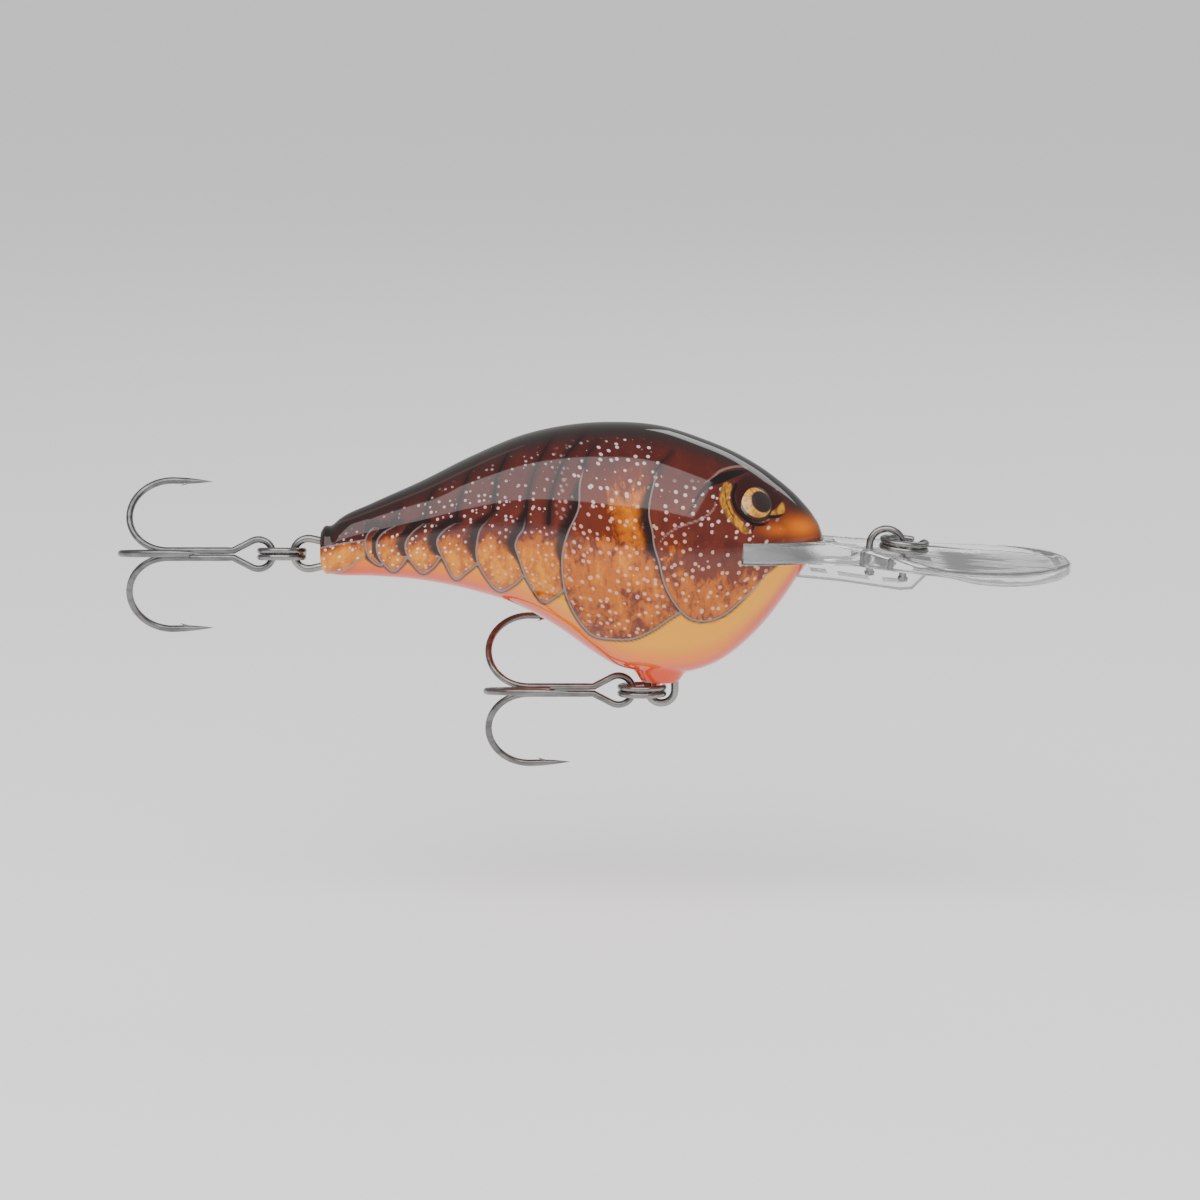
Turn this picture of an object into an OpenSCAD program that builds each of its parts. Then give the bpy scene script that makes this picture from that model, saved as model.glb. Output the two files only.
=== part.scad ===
// Deep-diving crankbait: hollow two-shell body with a clear diving lip, a line-tie arch with its
// split ring, two hook hangers with split rings and two treble hooks, ballast and rattle balls inside.
// +X runs from the tail to the lip, +Z is up (back of the body), the origin is the middle of the line-tie arch.

/* [Body] */
// Length of the body from the flat tail face to the nose, mm
body_length = 60; // [57:0.5:63]
// Height of the body at its deepest section, mm
body_height = 30; // [28:0.5:32]
// Width of the body at its widest section, mm
body_width = 21; // [19.5:0.5:22.5]
// Thickness of the moulded shells, mm
shell_wall = 1.6; // [1.3:0.1:1.8]

/* [Diving lip] */
// Full width of the paddle, mm
lip_width = 22; // [19:0.5:24]
// Depth of the pocket in the upper face of the lip, mm
lip_dish = 0.45; // [0.3:0.05:0.55]
// Thickness of the keel rail under the lip, across the lure, mm
keel_width = 3.2; // [2.6:0.1:4]

/* [Wire parts] */
// Diameter of the line-tie arch wire, mm
tie_wire = 0.86; // [0.7:0.02:0.9]
// Diameter of the hook hanger wire, mm
hanger_wire = 0.94; // [0.8:0.02:0.98]
// Outside diameter of the split rings, mm
ring_outer = 6; // [5.8:0.05:6.2]
// Wire diameter of the split rings, mm
ring_wire = 0.74; // [0.64:0.02:0.76]

/* [Treble hooks] */
// Wire diameter of the hooks, mm
hook_wire = 0.82; // [0.7:0.02:0.86]
// Distance from the shank line to each hook point, mm
hook_spread = 10.2; // [9.4:0.1:10.4]

/* [Eyes] */
// Diameter of the domed eyes, mm
eye_diameter = 4.4; // [3.8:0.1:4.8]
// Height of the eye dome above the flank, mm
eye_bulge = 0.45; // [0.3:0.05:0.6]

/* [Hidden] */
$fn = 40;

// Everything is laid out from the tail face (x = 0) and the line through the tail hook (z = 0),
// then shifted so that the line-tie arch is the origin.
sx = body_length / 60;
sy = body_width / 21;
sz = body_height / 30;
tie_x = 67.62 + body_length - 60;
tie_z = 1.17;
tie_r = 2.0;
fit = 0.05;

// Body outlines: back, belly and half width against the distance from the tail face.
BACK = [[0, 2.9], [0.3, 3.35], [1.2, 3.55], [2.2, 4.35], [6, 6.2], [12, 8.9], [18, 11.9], [24, 14.4], [30, 15.7],
  [34.5, 16], [40.8, 15.5], [45.6, 14], [50.4, 11.9], [54, 9.6], [57.6, 6.4], [58.9, 4.8], [59.7, 3.4], [60, 2.5]];
BELLY = [[0, -1.6], [0.3, -2.1], [1.2, -2.3], [6, -2.5], [12, -3], [18, -4.2], [24, -6.2], [28.8, -9], [32.4, -11.6],
  [34.8, -13.1], [37.2, -13.9], [40.6, -14.3], [45.6, -13.7], [48, -12.6], [50.4, -10.8], [52.8, -8.4], [55.2, -5.3],
  [57.6, -1.7], [58.9, 0.2], [59.7, 1.2], [60, 1.7]];
HALF = [[0, 2.4], [0.3, 2.85], [1.2, 3.1], [6, 4.2], [12, 5.9], [18, 7.6], [24, 9.1], [30, 10.1], [35, 10.5],
  [41, 10.4], [46, 9.7], [50.4, 8.4], [54, 6.8], [57, 5], [58.9, 3.5], [59.7, 2.5], [60, 1.7]];

function seg(p, x, i = 0) = (i >= len(p) - 2 || x < p[i + 1][0]) ? i : seg(p, x, i + 1);
function slope(p, i) = i == 0 ? (p[1][1] - p[0][1]) / (p[1][0] - p[0][0])
  : i == len(p) - 1 ? (p[i][1] - p[i - 1][1]) / (p[i][0] - p[i - 1][0])
  : let (a = p[i][0] - p[i - 1][0], b = p[i + 1][0] - p[i][0])
    ((p[i][1] - p[i - 1][1]) / a * b + (p[i + 1][1] - p[i][1]) / b * a) / (a + b);
function curve(p, x) = let (i = seg(p, x), h = p[i + 1][0] - p[i][0], t = (x - p[i][0]) / h)
  (2 * t * t * t - 3 * t * t + 1) * p[i][1] + (t * t * t - 2 * t * t + t) * h * slope(p, i)
  + (3 * t * t - 2 * t * t * t) * p[i + 1][1] + (t * t * t - t * t) * h * slope(p, i + 1);

function top_at(x) = sz * curve(BACK, x / sx);
function low_at(x) = sz * curve(BELLY, x / sx);
function half_at(x) = sy * curve(HALF, x / sx);
function power(s) = s > 0 ? 2.15 : 1.9;
// One point of the cross-section, t running from -90 (belly line) to 90 (back line), moved inwards by k.
function rim(x, t, k) = let (a = top_at(x) - k, b = low_at(x) + k, c = (a + b) / 2, h = (a - b) / 2, n = 2 / power(t))
  [x, (half_at(x) - k) * pow(cos(t), n), c + h * sign(t) * pow(abs(sin(t)), n)];
// Half width of the body at height z.
function flank(x, z) = let (a = top_at(x), b = low_at(x), c = (a + b) / 2, h = (a - b) / 2, n = power(z - c))
  half_at(x) * pow(max(0, 1 - pow(abs(z - c) / h, n)), 1 / n);

// Stations of the outside, and which of them the inside cavity spans.
SX = [0, 0.12, 0.3, 0.7, 1.2, 2.2, 4, 6, 8, 10, 12, 14, 16, 18, 20, 22, 24, 26, 28, 30, 32, 34, 36, 38, 40, 42, 44,
  46, 47.5, 49, 50.5, 52, 53.5, 55, 56.2, 57.2, 58.1, 58.9, 59.4, 59.75, 60];
CA = 9;
CB = 28;
DIV = 26;
CAV = 18;

// Half of the body, y > 0, with its hollow inside and its flat joining face on y = 0.
module half_body() {
  n = len(SX) - 1;
  function o(i, j) = i * (DIV + 1) + j;
  function c(i, j) = (n + 1) * (DIV + 1) + (i - CA) * (CAV + 1) + j;
  polyhedron(
    points = concat(
      [for (i = [0:n]) for (j = [0:DIV]) rim(SX[i] * sx, -90 + 180 * j / DIV, 0)],
      [for (i = [CA:CB]) for (j = [0:CAV]) rim(SX[i] * sx, -90 + 180 * j / CAV, shell_wall)]),
    faces = concat(
      [for (i = [0:n - 1]) for (j = [0:DIV - 1]) [o(i, j), o(i + 1, j), o(i + 1, j + 1)]],
      [for (i = [0:n - 1]) for (j = [0:DIV - 1]) [o(i, j), o(i + 1, j + 1), o(i, j + 1)]],
      [for (i = [CA:CB - 1]) for (j = [0:CAV - 1]) [c(i, j), c(i + 1, j + 1), c(i + 1, j)]],
      [for (i = [CA:CB - 1]) for (j = [0:CAV - 1]) [c(i, j), c(i, j + 1), c(i + 1, j + 1)]],
      [[for (j = [0:DIV]) o(0, j)], [for (j = [DIV:-1:0]) o(n, j)],
        [for (j = [CAV:-1:0]) c(CA, j)], [for (j = [0:CAV]) c(CB, j)]],
      [for (i = [0:n - 1]) if (i < CA - 1 || i > CB) [o(i, 0), o(i, DIV), o(i + 1, DIV), o(i + 1, 0)]],
      [for (i = [CA:CB - 1]) [c(i, CAV), o(i, DIV), o(i + 1, DIV), c(i + 1, CAV)]],
      [for (i = [CA:CB - 1]) [o(i, 0), c(i, 0), c(i + 1, 0), o(i + 1, 0)]],
      [[o(CA - 1, 0), o(CA - 1, DIV), o(CA, DIV), c(CA, CAV), c(CA, 0), o(CA, 0)]],
      [[o(CB + 1, 0), o(CB, 0), c(CB, 0), c(CB, CAV), o(CB, DIV), o(CB + 1, DIV)]]));
}

module along_y(x, z, d, y0, y1) translate([x, y0, z]) rotate([-90, 0, 0]) cylinder(d = d, h = y1 - y0);
module along_x(z, d, x0, x1) translate([x0, 0, z]) rotate([0, 90, 0]) cylinder(d = d, h = x1 - x0);

// Belly pad under the hook hanger, a low cone.
pad_x = 40.6 * sx;
pad_z = low_at(pad_x) - 1;
// Locating pegs, ballast pocket and rattle chamber on the joining plane.
PEGS = [[13.6, 3], [22.5, 9.6], [38, 10.6], [27, -3.6]];
slug_x = 35.5 * sx;
slug_z = -5.2 * sz;
slug_d = 7;
slug_l = 9;
ball_z = 4.4 * sz;
ball_x = 26 * sx;
ball_d = 3.5;
// Feet of the belly hanger inside the body.
foot_z = low_at(pad_x) + 3.7;

// One shell, y > 0: the locating pegs stand on one of the two, their sockets are in the other.
module shell(pegs) {
  difference() {
    union() {
      half_body();
      intersection() {
        translate([pad_x, 0, pad_z]) cylinder(r1 = 2.2, r2 = 3.6, h = 2.6);
        translate([pad_x - 5, 0, pad_z - 1]) cube([10, 5, 5]);
      }
      for (p = PEGS) along_y(p[0] * sx, p[1] * sz, 3.6, 0,
        min(flank(p[0] * sx, p[1] * sz + 1.8), flank(p[0] * sx, p[1] * sz - 1.8)) - 0.5);
      along_y(slug_x, slug_z, slug_d + 2.2, 0, slug_l / 2 + 0.75);
      intersection() {
        along_x(ball_z, ball_d + 2.6, ball_x - 9, ball_x + 9);
        translate([ball_x - 10, 0, ball_z - 5]) cube([20, 10, 10]);
      }
      for (q = [-8.4, 7.2]) translate([ball_x + q, 2.4, ball_z - 1.2])
        cube([1.2, flank(ball_x + q, ball_z) - 0.7 - 2.4, 2.4]);
      translate([pad_x - 3.7, 0, low_at(pad_x) + 1.1]) cube([7.4, 2.1, 3.9]);
      if (pegs) for (p = PEGS) along_y(p[0] * sx, p[1] * sz, 1.6, -1.4, 1);
    }
    lip_slot();
    tail_channel();
    belly_wire(hanger_wire + 2 * fit);
    eye_frame() translate([0, 0, -0.8]) cylinder(d = eye_diameter + 0.1, h = 3);
    along_y(slug_x, slug_z, slug_d + 2 * fit, -1, slug_l / 2 + fit);
    along_x(ball_z, ball_d + 0.4, ball_x - 8, ball_x + 8);
    if (!pegs) for (p = PEGS) along_y(p[0] * sx, p[1] * sz, 1.7, -1, 1.6);
  }
}

// Eyes: a seat square to the flank, and a lens-shaped disc in it.
eye_x = 51.8 * sx;
eye_z = 7.3 * sz;
eye_y = flank(eye_x, eye_z);
eye_turn = atan2(flank(eye_x - 1, eye_z) - flank(eye_x + 1, eye_z), 2);
eye_lift = atan2(flank(eye_x, eye_z - 1) - flank(eye_x, eye_z + 1), 2);
module eye_frame() translate([eye_x, eye_y, eye_z]) rotate([-90 + eye_lift, 0, -eye_turn]) children();
module eye() {
  r = (pow(eye_diameter / 2, 2) + pow(eye_bulge, 2)) / (2 * eye_bulge);
  eye_frame() intersection() {
    translate([0, 0, -0.75]) cylinder(d = eye_diameter, h = 3);
    translate([0, 0, eye_bulge - r - 0.15]) sphere(r = r);
  }
}

// Diving lip: half widths of the plan outline, and the upper and lower faces seen from the side.
lip_x = body_length - 60;
LIP_HALF = [[50.2, 8.1], [54, 6.5], [57, 4.75], [59, 3.75], [61.4, 3.6], [64, 4.3], [67, 6.3], [70.2, 8.5], [74, 10.4],
  [77.5, 11], [81, 10.95], [84, 9.9], [86.6, 7.7], [88.6, 4.6], [89.5, 2.2], [89.8, 0.6]];
LIP_TOP = [[50.3, 2.68], [60, 1.98], [62.2, 1.75], [66, 1.2], [70, 0.52], [74, -0.12], [77, -0.32], [81, -0.42],
  [85, -0.45], [88.6, -0.52], [89.4, -0.66], [89.8, -0.95]];
LIP_LOW = [[50, 0.2], [60, -0.58], [64, -0.8], [70, -1], [74, -1.15], [77.7, -1.82], [81.5, -2.1], [86, -2.12],
  [88.8, -2.04], [89.5, -1.9], [89.8, -1.6]];
function lip_half(x, k) = (x < 60 ? sy : lip_width / 22) * curve(LIP_HALF, x) - k;
module lip_plan(k, x0, x1) {
  xs = concat([x0], [for (x = [ceil(x0) + 0.4:0.9:x1 - 0.5]) x], [x1]);
  translate([lip_x, 0, -6]) linear_extrude(12) polygon(concat(
    [for (x = xs) [x, lip_half(x, k)]], [for (i = [len(xs) - 1:-1:0]) [xs[i], -lip_half(xs[i], k)]]));
}
module side(points, half) translate([lip_x, half, 0]) rotate([90, 0, 0]) linear_extrude(2 * half) polygon(points);
module lip_side() {
  up = concat([for (x = [50.3:1.1:88.5]) [x, curve(LIP_TOP, x)]], [[89.2, curve(LIP_TOP, 89.2)], [89.8, -0.95]]);
  lo = concat([for (x = [50:1.1:88.7]) [x, curve(LIP_LOW, x)]], [[89.4, curve(LIP_LOW, 89.4)], [89.8, -1.6]]);
  side(concat(up, [for (i = [len(lo) - 1:-1:0]) lo[i]]), 14);
}
module lip_pocket() {
  floor = [for (x = [61.6:1.1:88]) [x, curve(LIP_TOP, x) - lip_dish]];
  intersection() {
    side(concat([[61.2, 4]], floor, [[88.2, 4]]), 14);
    lip_plan(1.3, 61, 88.6);
  }
}
module lip_slot() {
  side(concat([[50.3 - fit, 2.68 + fit]], [for (x = [50.3:1.1:62]) [x, curve(LIP_TOP, x) + fit]],
    [for (x = [61:-1.1:50]) [x, curve(LIP_LOW, x) - fit]], [[50 - fit, 0.2 - fit]]), 14);
  side([[56.3, 0], [62, 0], [62, -4], [56.3, -4]], keel_width / 2 + fit);
}
module keel() {
  difference() {
    side([[56.6, 0], [60, -0.4], [64, -0.6], [73, -0.9], [72.4, -2.2], [70.7, -3.9], [69.2, -4], [62.2, -2.95],
      [56.6, -2.4]], keel_width / 2);
    side([[58.4, -0.9], [59.7, -0.95], [59.9, -1.75], [58.4, -1.6]], 5);
    side([[61.4, -1.05], [64.5, -1.15], [64.5, -2.3], [61.2, -1.95]], 5);
    side([[66.8, -1.3], [68.5, -1.35], [68.4, -2.9], [66.7, -2.65]], 5);
    for (s = [-1, 1]) translate([lip_x + 62.8, s * 1.9, -3.2]) cube([9.8, 1, 2], center = true);
  }
}

// Depth of the two wire legs in the keel rail, rear leg and front leg.
LEGS = [[-1, -2.35], [1, -3.1]];

// Positions of the two hook hangers and of the parts that hang from them.
tail_eye = [-1.5, 0.16];
tail_r = 1.36 + 0.47;
belly_eye = [40.75 * sx, pad_z - 1.15];
belly_r = 1.15 + 0.47;
ring_r = (ring_outer - ring_wire) / 2;
tail_ring = [tail_eye[0] - 0.6 - ring_r, 0.1];
belly_ring = [belly_eye[0] + 0.3 - ring_r, belly_eye[1] - 0.05];
hook_eye_r = 1.75;
tail_hook = [tail_ring[0] - ring_r - 0.2, tail_ring[1]];
belly_hook = [belly_ring[0] - ring_r - 0.2, belly_ring[1]];
roll = 10;

// A round bend in the XZ plane, centred on c, from angle a over sweep s.
module bend(c, r, d, a, s) translate([c[0], 0, c[1]]) rotate([90, 0, 0]) rotate([0, 0, a])
  rotate_extrude(angle = s) translate([r, 0]) circle(d = d);
// A straight wire between two points of the XZ plane, with end diameters d and e.
module bar(a, b, d, e) translate([a[0], 0, a[1]]) rotate([0, atan2(b[0] - a[0], b[1] - a[1]), 0])
  cylinder(d1 = d, d2 = e, h = norm(b - a));
module knob(a, d) translate([a[0], 0, a[1]]) sphere(d = 1.03 * d);
// Angle at which the straight line from q touches the circle round c, on side s.
function touch(c, r, q, s) = atan2(q[1] - c[1], q[0] - c[0]) + s * acos(r / norm(q - c));
function on(c, r, a) = [c[0] + r * cos(a), c[1] + r * sin(a)];

// Tail hanger: a round eye, two strands running together into the tail, and splayed ends.
module tail_wire(d) {
  a = touch(tail_eye, tail_r, [4.4, tail_eye[1] + 0.6], 1);
  bend(tail_eye, tail_r, d, a, 360 - 2 * a);
  for (s = [-1, 1]) {
    p = on(tail_eye, tail_r, s * a);
    q = [4.4, tail_eye[1] + s * 0.6];
    e = q + [3, 0];
    knob(p, d);
    bar(p, q, d, d);
    knob(q, d);
    bar(q, e, d, d);
    knob(e, d);
    bar(e, e + [0, s * (0.8 + (d - hanger_wire))], d, d);
  }
}
// Flat-sided groove for the tail hanger's strands, shared by the two shells.
module tail_channel() {
  w = hanger_wire / 2 + 2 * fit;
  top = [[-1, 1.8 + w], [4.4, 0.6 + w], [7.4 - w, 0.6 + w], [7.4 - w, 1.4 + 2 * fit], [7.4 + w, 1.4 + 2 * fit]];
  side(concat([for (q = top) [q[0] - lip_x, tail_eye[1] + q[1]]],
    [for (i = [len(top) - 1:-1:0]) [top[i][0] - lip_x, tail_eye[1] - top[i][1]]]), hanger_wire / 2 + fit);
}
// Belly hanger: a U below the pad with feet turned outwards inside the body.
module belly_wire(d) {
  bend(belly_eye, belly_r, d, 180, 180);
  for (s = [-1, 1]) {
    p = [belly_eye[0] + s * belly_r, foot_z];
    knob([p[0], belly_eye[1]], d);
    bar([p[0], belly_eye[1]], p, d, d);
    knob(p, d);
    bar(p, p + [s * (1.3 + (d - hanger_wire)), 0], d, d);
  }
}
// Line-tie arch with two legs and upset ends moulded into the keel rail.
module tie(d, e) {
  bend([tie_x, tie_z], tie_r, d, 0, 180);
  for (g = LEGS) {
    knob([tie_x + g[0] * tie_r, tie_z], d);
    translate([tie_x + g[0] * tie_r, 0, g[1]]) cylinder(d = d, h = tie_z - g[1]);
    translate([tie_x + g[0] * tie_r, 0, g[1] - (e - 1.2) / 2]) cylinder(d = e, h = 0.5 + (e - 1.2));
  }
}

// Split ring: one wire wound almost twice, stepping over to the second turn at angle 0.
module split_ring() {
  n = 54;
  m = 10;
  h = (ring_wire + 0.03) / 2;
  function level(t) = t < 358 ? h : t > 395 ? -h : h * cos(180 * (t - 358) / 37);
  function pt(k, j) = let (t = 41 + 672 * k / n, r = ring_r + ring_wire / 2 * cos(360 * j / m))
    [r * cos(t), r * sin(t), level(t) + ring_wire / 2 * sin(360 * j / m)];
  polyhedron(
    points = [for (k = [0:n]) for (j = [0:m - 1]) pt(k, j)],
    faces = concat(
      [for (k = [0:n - 1]) for (j = [0:m - 1]) [k * m + j, k * m + (j + 1) % m, (k + 1) * m + (j + 1) % m]],
      [for (k = [0:n - 1]) for (j = [0:m - 1]) [k * m + j, (k + 1) * m + (j + 1) % m, (k + 1) * m + j]],
      [[for (j = [m - 1:-1:0]) j], [for (j = [0:m - 1]) n * m + j]]));
}

// A round wire along a path of 3-D points with a radius at each; ref is never along the path.
module wire(path, radii, ref) {
  n = len(path) - 1;
  m = 10;
  function unit(v) = v / norm(v);
  function pt(k, j) = let (t = unit(path[min(k + 1, n)] - path[max(k - 1, 0)]), u = unit(cross(t, ref)), w = cross(t, u))
    path[k] + radii[k] * (cos(360 * j / m) * u + sin(360 * j / m) * w);
  polyhedron(
    points = [for (k = [0:n]) for (j = [0:m - 1]) pt(k, j)],
    faces = concat(
      [for (k = [0:n - 1]) for (j = [0:m - 1]) [k * m + j, (k + 1) * m + (j + 1) % m, k * m + (j + 1) % m]],
      [for (k = [0:n - 1]) for (j = [0:m - 1]) [k * m + j, (k + 1) * m + j, (k + 1) * m + (j + 1) % m]],
      [[for (j = [0:m - 1]) j], [for (j = [m - 1:-1:0]) n * m + j]]));
}

// Treble hooks, laid out from the centre of the eye with the shank towards -X. A prong lies in
// the plane through the shank line that is turned by f: point, straight spear, round bend, shank.
shank_r = 0.6 * hook_wire;
bend_r = (hook_spread + 0.16 - shank_r) / 2;
bend_c = [-10.8, shank_r + bend_r];
spear_end = on(bend_c, bend_r, 88);
function spear(s, k) = spear_end + [s * cos(-2) + k * sin(2), s * sin(-2) + k * cos(2)];
function turned(q, f) = [q[0], -q[1] * cos(f), q[1] * sin(f)];
SPEAR = [[4.7, 0.03], [3.6, 0.17], [2.6, 0.29], [1.6, 0.375], [0.8, 0.4]];
function prong_path(f, x0) = concat([for (g = SPEAR) turned(spear(g[0], 0), f)],
  [for (a = [88:10.7:270]) turned(on(bend_c, bend_r, a), f)], [turned([x0, shank_r], f)]);
function prong_radii(x) = [for (k = [0:len(x) - 1]) hook_wire / 0.82 * (k < len(SPEAR) ? SPEAR[k][1] : 0.41)];
function backwards(l) = [for (i = [len(l) - 1:-1:0]) l[i]];
// A barb is a small pyramid standing on the inner side of the spear, its point towards the bend.
module barb(f) {
  a = spear(2.5, 0);
  b = spear(1.4, 0);
  c = spear(0.8, -0.78);
  rotate([90 - f, 0, 0]) polyhedron(
    points = [[a[0], -0.15, a[1]], [a[0], 0.15, a[1]], [b[0], 0.17, b[1]], [b[0], -0.17, b[1]], [c[0], 0.01, c[1]]],
    faces = [[2, 1, 0, 3], [0, 1, 4], [1, 2, 4], [2, 3, 4], [3, 0, 4]]);
}
module at(p, turn) translate([p[0], 0, p[1]]) rotate([-turn, 0, 0]) children();
module double_hook() {
  b = prong_path(120, -3);
  c = prong_path(-120, -3);
  a = touch([0, 0], hook_eye_r, [-3, b[len(b) - 1][2]], -1);
  loop = [for (i = [0:18]) let (v = a - i * a / 9) [hook_eye_r * cos(v), b[len(b) - 1][1], hook_eye_r * sin(v)]];
  path = concat(b, loop, backwards(c));
  wire(path, concat(prong_radii(b), [for (v = loop) hook_wire / 2], backwards(prong_radii(c))), [0, 1, 0]);
  barb(120);
  barb(-120);
}
module single_hook() {
  path = prong_path(0, -8.3);
  wire(path, prong_radii(path), [0, 0, 1]);
  barb(0);
}

// The shift that makes the middle of the line-tie arch the origin.
module placed() translate([-tie_x, 0, -tie_z]) children();

module body_left_shell() color([0.55, 0.2, 0.1]) placed() shell(true);
module body_right_shell() color([0.6, 0.22, 0.1]) placed() mirror([0, 1, 0]) shell(false);
module eye_left() color([0.85, 0.65, 0.3]) placed() eye();
module eye_right() color([0.85, 0.65, 0.3]) placed() mirror([0, 1, 0]) eye();
module diving_lip() color([0.85, 0.9, 0.92, 0.5]) placed() difference() {
  union() {
    intersection() {
      lip_plan(0, 50, 89.8);
      lip_side();
    }
    keel();
  }
  lip_pocket();
  tie(tie_wire + 0.06, 1.26);
}
module line_tie_wire() color([0.5, 0.5, 0.5]) placed() tie(tie_wire, 1.2);
module line_tie_split_ring() color([0.45, 0.45, 0.47]) placed()
  translate([tie_x - 0.47, 0, tie_z + 0.38]) rotate([0, 6, 0]) translate([ring_r, 0, 0]) rotate([0, 0, 20]) split_ring();
module belly_hook_hanger() color([0.5, 0.5, 0.5]) placed() belly_wire(hanger_wire);
module belly_split_ring() color([0.45, 0.45, 0.47]) placed() at(belly_ring, 5) split_ring();
module belly_hook_double() color([0.3, 0.3, 0.32]) placed() at(belly_hook, roll) double_hook();
module belly_hook_single() color([0.36, 0.36, 0.38]) placed() at(belly_hook, roll) single_hook();
module tail_hook_hanger() color([0.5, 0.5, 0.5]) placed() tail_wire(hanger_wire);
module tail_split_ring() color([0.45, 0.45, 0.47]) placed() at(tail_ring, roll) split_ring();
module tail_hook_double() color([0.3, 0.3, 0.32]) placed() at(tail_hook, roll) double_hook();
module tail_hook_single() color([0.36, 0.36, 0.38]) placed() at(tail_hook, roll) single_hook();
module ballast_slug() color([0.7, 0.6, 0.3]) placed() along_y(slug_x, slug_z, slug_d, -slug_l / 2, slug_l / 2);
module rattle_balls() color([0.6, 0.6, 0.62]) placed()
  for (i = [-1, 0, 1]) translate([ball_x + i * (ball_d + 0.02), 0, ball_z]) sphere(d = ball_d);

body_left_shell();
body_right_shell();
eye_left();
eye_right();
diving_lip();
line_tie_wire();
line_tie_split_ring();
belly_hook_hanger();
belly_split_ring();
belly_hook_double();
belly_hook_single();
tail_hook_hanger();
tail_split_ring();
tail_hook_double();
tail_hook_single();
ballast_slug();
rattle_balls();
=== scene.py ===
"""Looks of a deep-diving crankbait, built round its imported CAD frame."""

import math

import bmesh
import bpy
import numpy as np
from mathutils import Matrix, Vector


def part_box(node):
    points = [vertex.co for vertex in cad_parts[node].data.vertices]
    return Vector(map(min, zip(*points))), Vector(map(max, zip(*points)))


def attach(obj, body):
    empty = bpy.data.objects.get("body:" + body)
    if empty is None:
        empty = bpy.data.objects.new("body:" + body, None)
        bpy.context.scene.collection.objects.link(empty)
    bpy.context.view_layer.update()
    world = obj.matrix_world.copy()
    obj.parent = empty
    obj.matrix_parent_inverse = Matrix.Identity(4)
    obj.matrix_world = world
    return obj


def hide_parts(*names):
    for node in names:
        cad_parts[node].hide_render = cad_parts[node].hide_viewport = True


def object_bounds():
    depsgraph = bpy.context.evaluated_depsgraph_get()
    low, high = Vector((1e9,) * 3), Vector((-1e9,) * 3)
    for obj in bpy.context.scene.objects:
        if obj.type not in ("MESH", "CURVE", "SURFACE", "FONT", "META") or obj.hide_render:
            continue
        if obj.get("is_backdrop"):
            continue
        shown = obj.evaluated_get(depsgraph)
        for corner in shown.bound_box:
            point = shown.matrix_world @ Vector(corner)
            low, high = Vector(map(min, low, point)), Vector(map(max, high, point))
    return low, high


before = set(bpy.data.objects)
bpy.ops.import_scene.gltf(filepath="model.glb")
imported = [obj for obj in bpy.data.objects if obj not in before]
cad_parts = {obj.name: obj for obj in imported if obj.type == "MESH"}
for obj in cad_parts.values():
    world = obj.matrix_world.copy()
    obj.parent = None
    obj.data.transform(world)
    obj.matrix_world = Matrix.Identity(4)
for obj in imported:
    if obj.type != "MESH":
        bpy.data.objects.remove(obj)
cad_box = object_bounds()

MM = 0.001
VIEW_TILT = math.radians(10)          # how far the camera looks down
TAIL_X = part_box("body_left_shell")[0].x                        # the flat tail face
BASE_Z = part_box("line_tie_wire")[1].z - (2.43 + 1.17) * MM    # the line through the tail hook


def place(points):
    """Millimetres from the tail face and the tail hook line, to the frame's metres."""
    p = np.asarray(points, float).reshape(-1, 3)
    return np.stack([TAIL_X + p[:, 0] * MM, p[:, 1] * MM, BASE_Z + p[:, 2] * MM], 1)


# ---------------------------------------------------------------- curves

def smooth(t):
    t = np.clip(t, 0, 1)
    return t * t * (3 - 2 * t)


def curve(points, x):
    """A smooth curve through (x, value) points, its slopes weighted by the spacing."""
    p = np.array(points, float)
    d = np.diff(p[:, 1]) / np.diff(p[:, 0])
    h = np.diff(p[:, 0])
    m = np.empty(len(p))
    m[0], m[-1] = d[0], d[-1]
    m[1:-1] = (d[:-1] * h[1:] + d[1:] * h[:-1]) / (h[1:] + h[:-1])
    x = np.asarray(x, float)
    i = np.clip(np.searchsorted(p[:, 0], x, side="right") - 1, 0, len(p) - 2)
    t = (x - p[i, 0]) / h[i]
    return ((2 * t**3 - 3 * t**2 + 1) * p[i, 1] + (t**3 - 2 * t**2 + t) * h[i] * m[i]
            + (3 * t**2 - 2 * t**3) * p[i + 1, 1] + (t**3 - t**2) * h[i] * m[i + 1])


def spline(points, closed=False, steps=8):
    """A Catmull-Rom line through 2-D points."""
    p = np.array(points, float)
    n = len(p)
    if closed:
        q = np.concatenate([p[-1:], p, p[:2]])
    else:
        q = np.concatenate([2 * p[:1] - p[1:2], p, 2 * p[-1:] - p[-2:-1]])
    out = []
    for i in range(n if closed else n - 1):
        a, b, c, d = q[i:i + 4]
        for t in np.arange(steps) / steps:
            out.append(0.5 * (2 * b + (c - a) * t + (2 * a - 5 * b + 4 * c - d) * t * t
                              + (3 * b - a - 3 * c + d) * t**3))
    if not closed:
        out.append(p[-1])
    return np.array(out)


def distance(line, q, closed=False):
    """Distance from each 2-D point of q to a polyline, and the place along it from 0 to 1."""
    a = line
    b = np.roll(line, -1, 0)
    if not closed:
        a, b = a[:-1], b[:-1]
    best = np.full(len(q), 1e9)
    along = np.zeros(len(q))
    for k in range(len(a)):
        v = b[k] - a[k]
        w = q - a[k]
        t = np.clip(w @ v / max(v @ v, 1e-12), 0, 1)
        d = np.hypot(*(w - t[:, None] * v).T)
        near = d < best
        best[near] = d[near]
        along[near] = (k + t[near]) / len(a)
    return best, along


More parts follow.
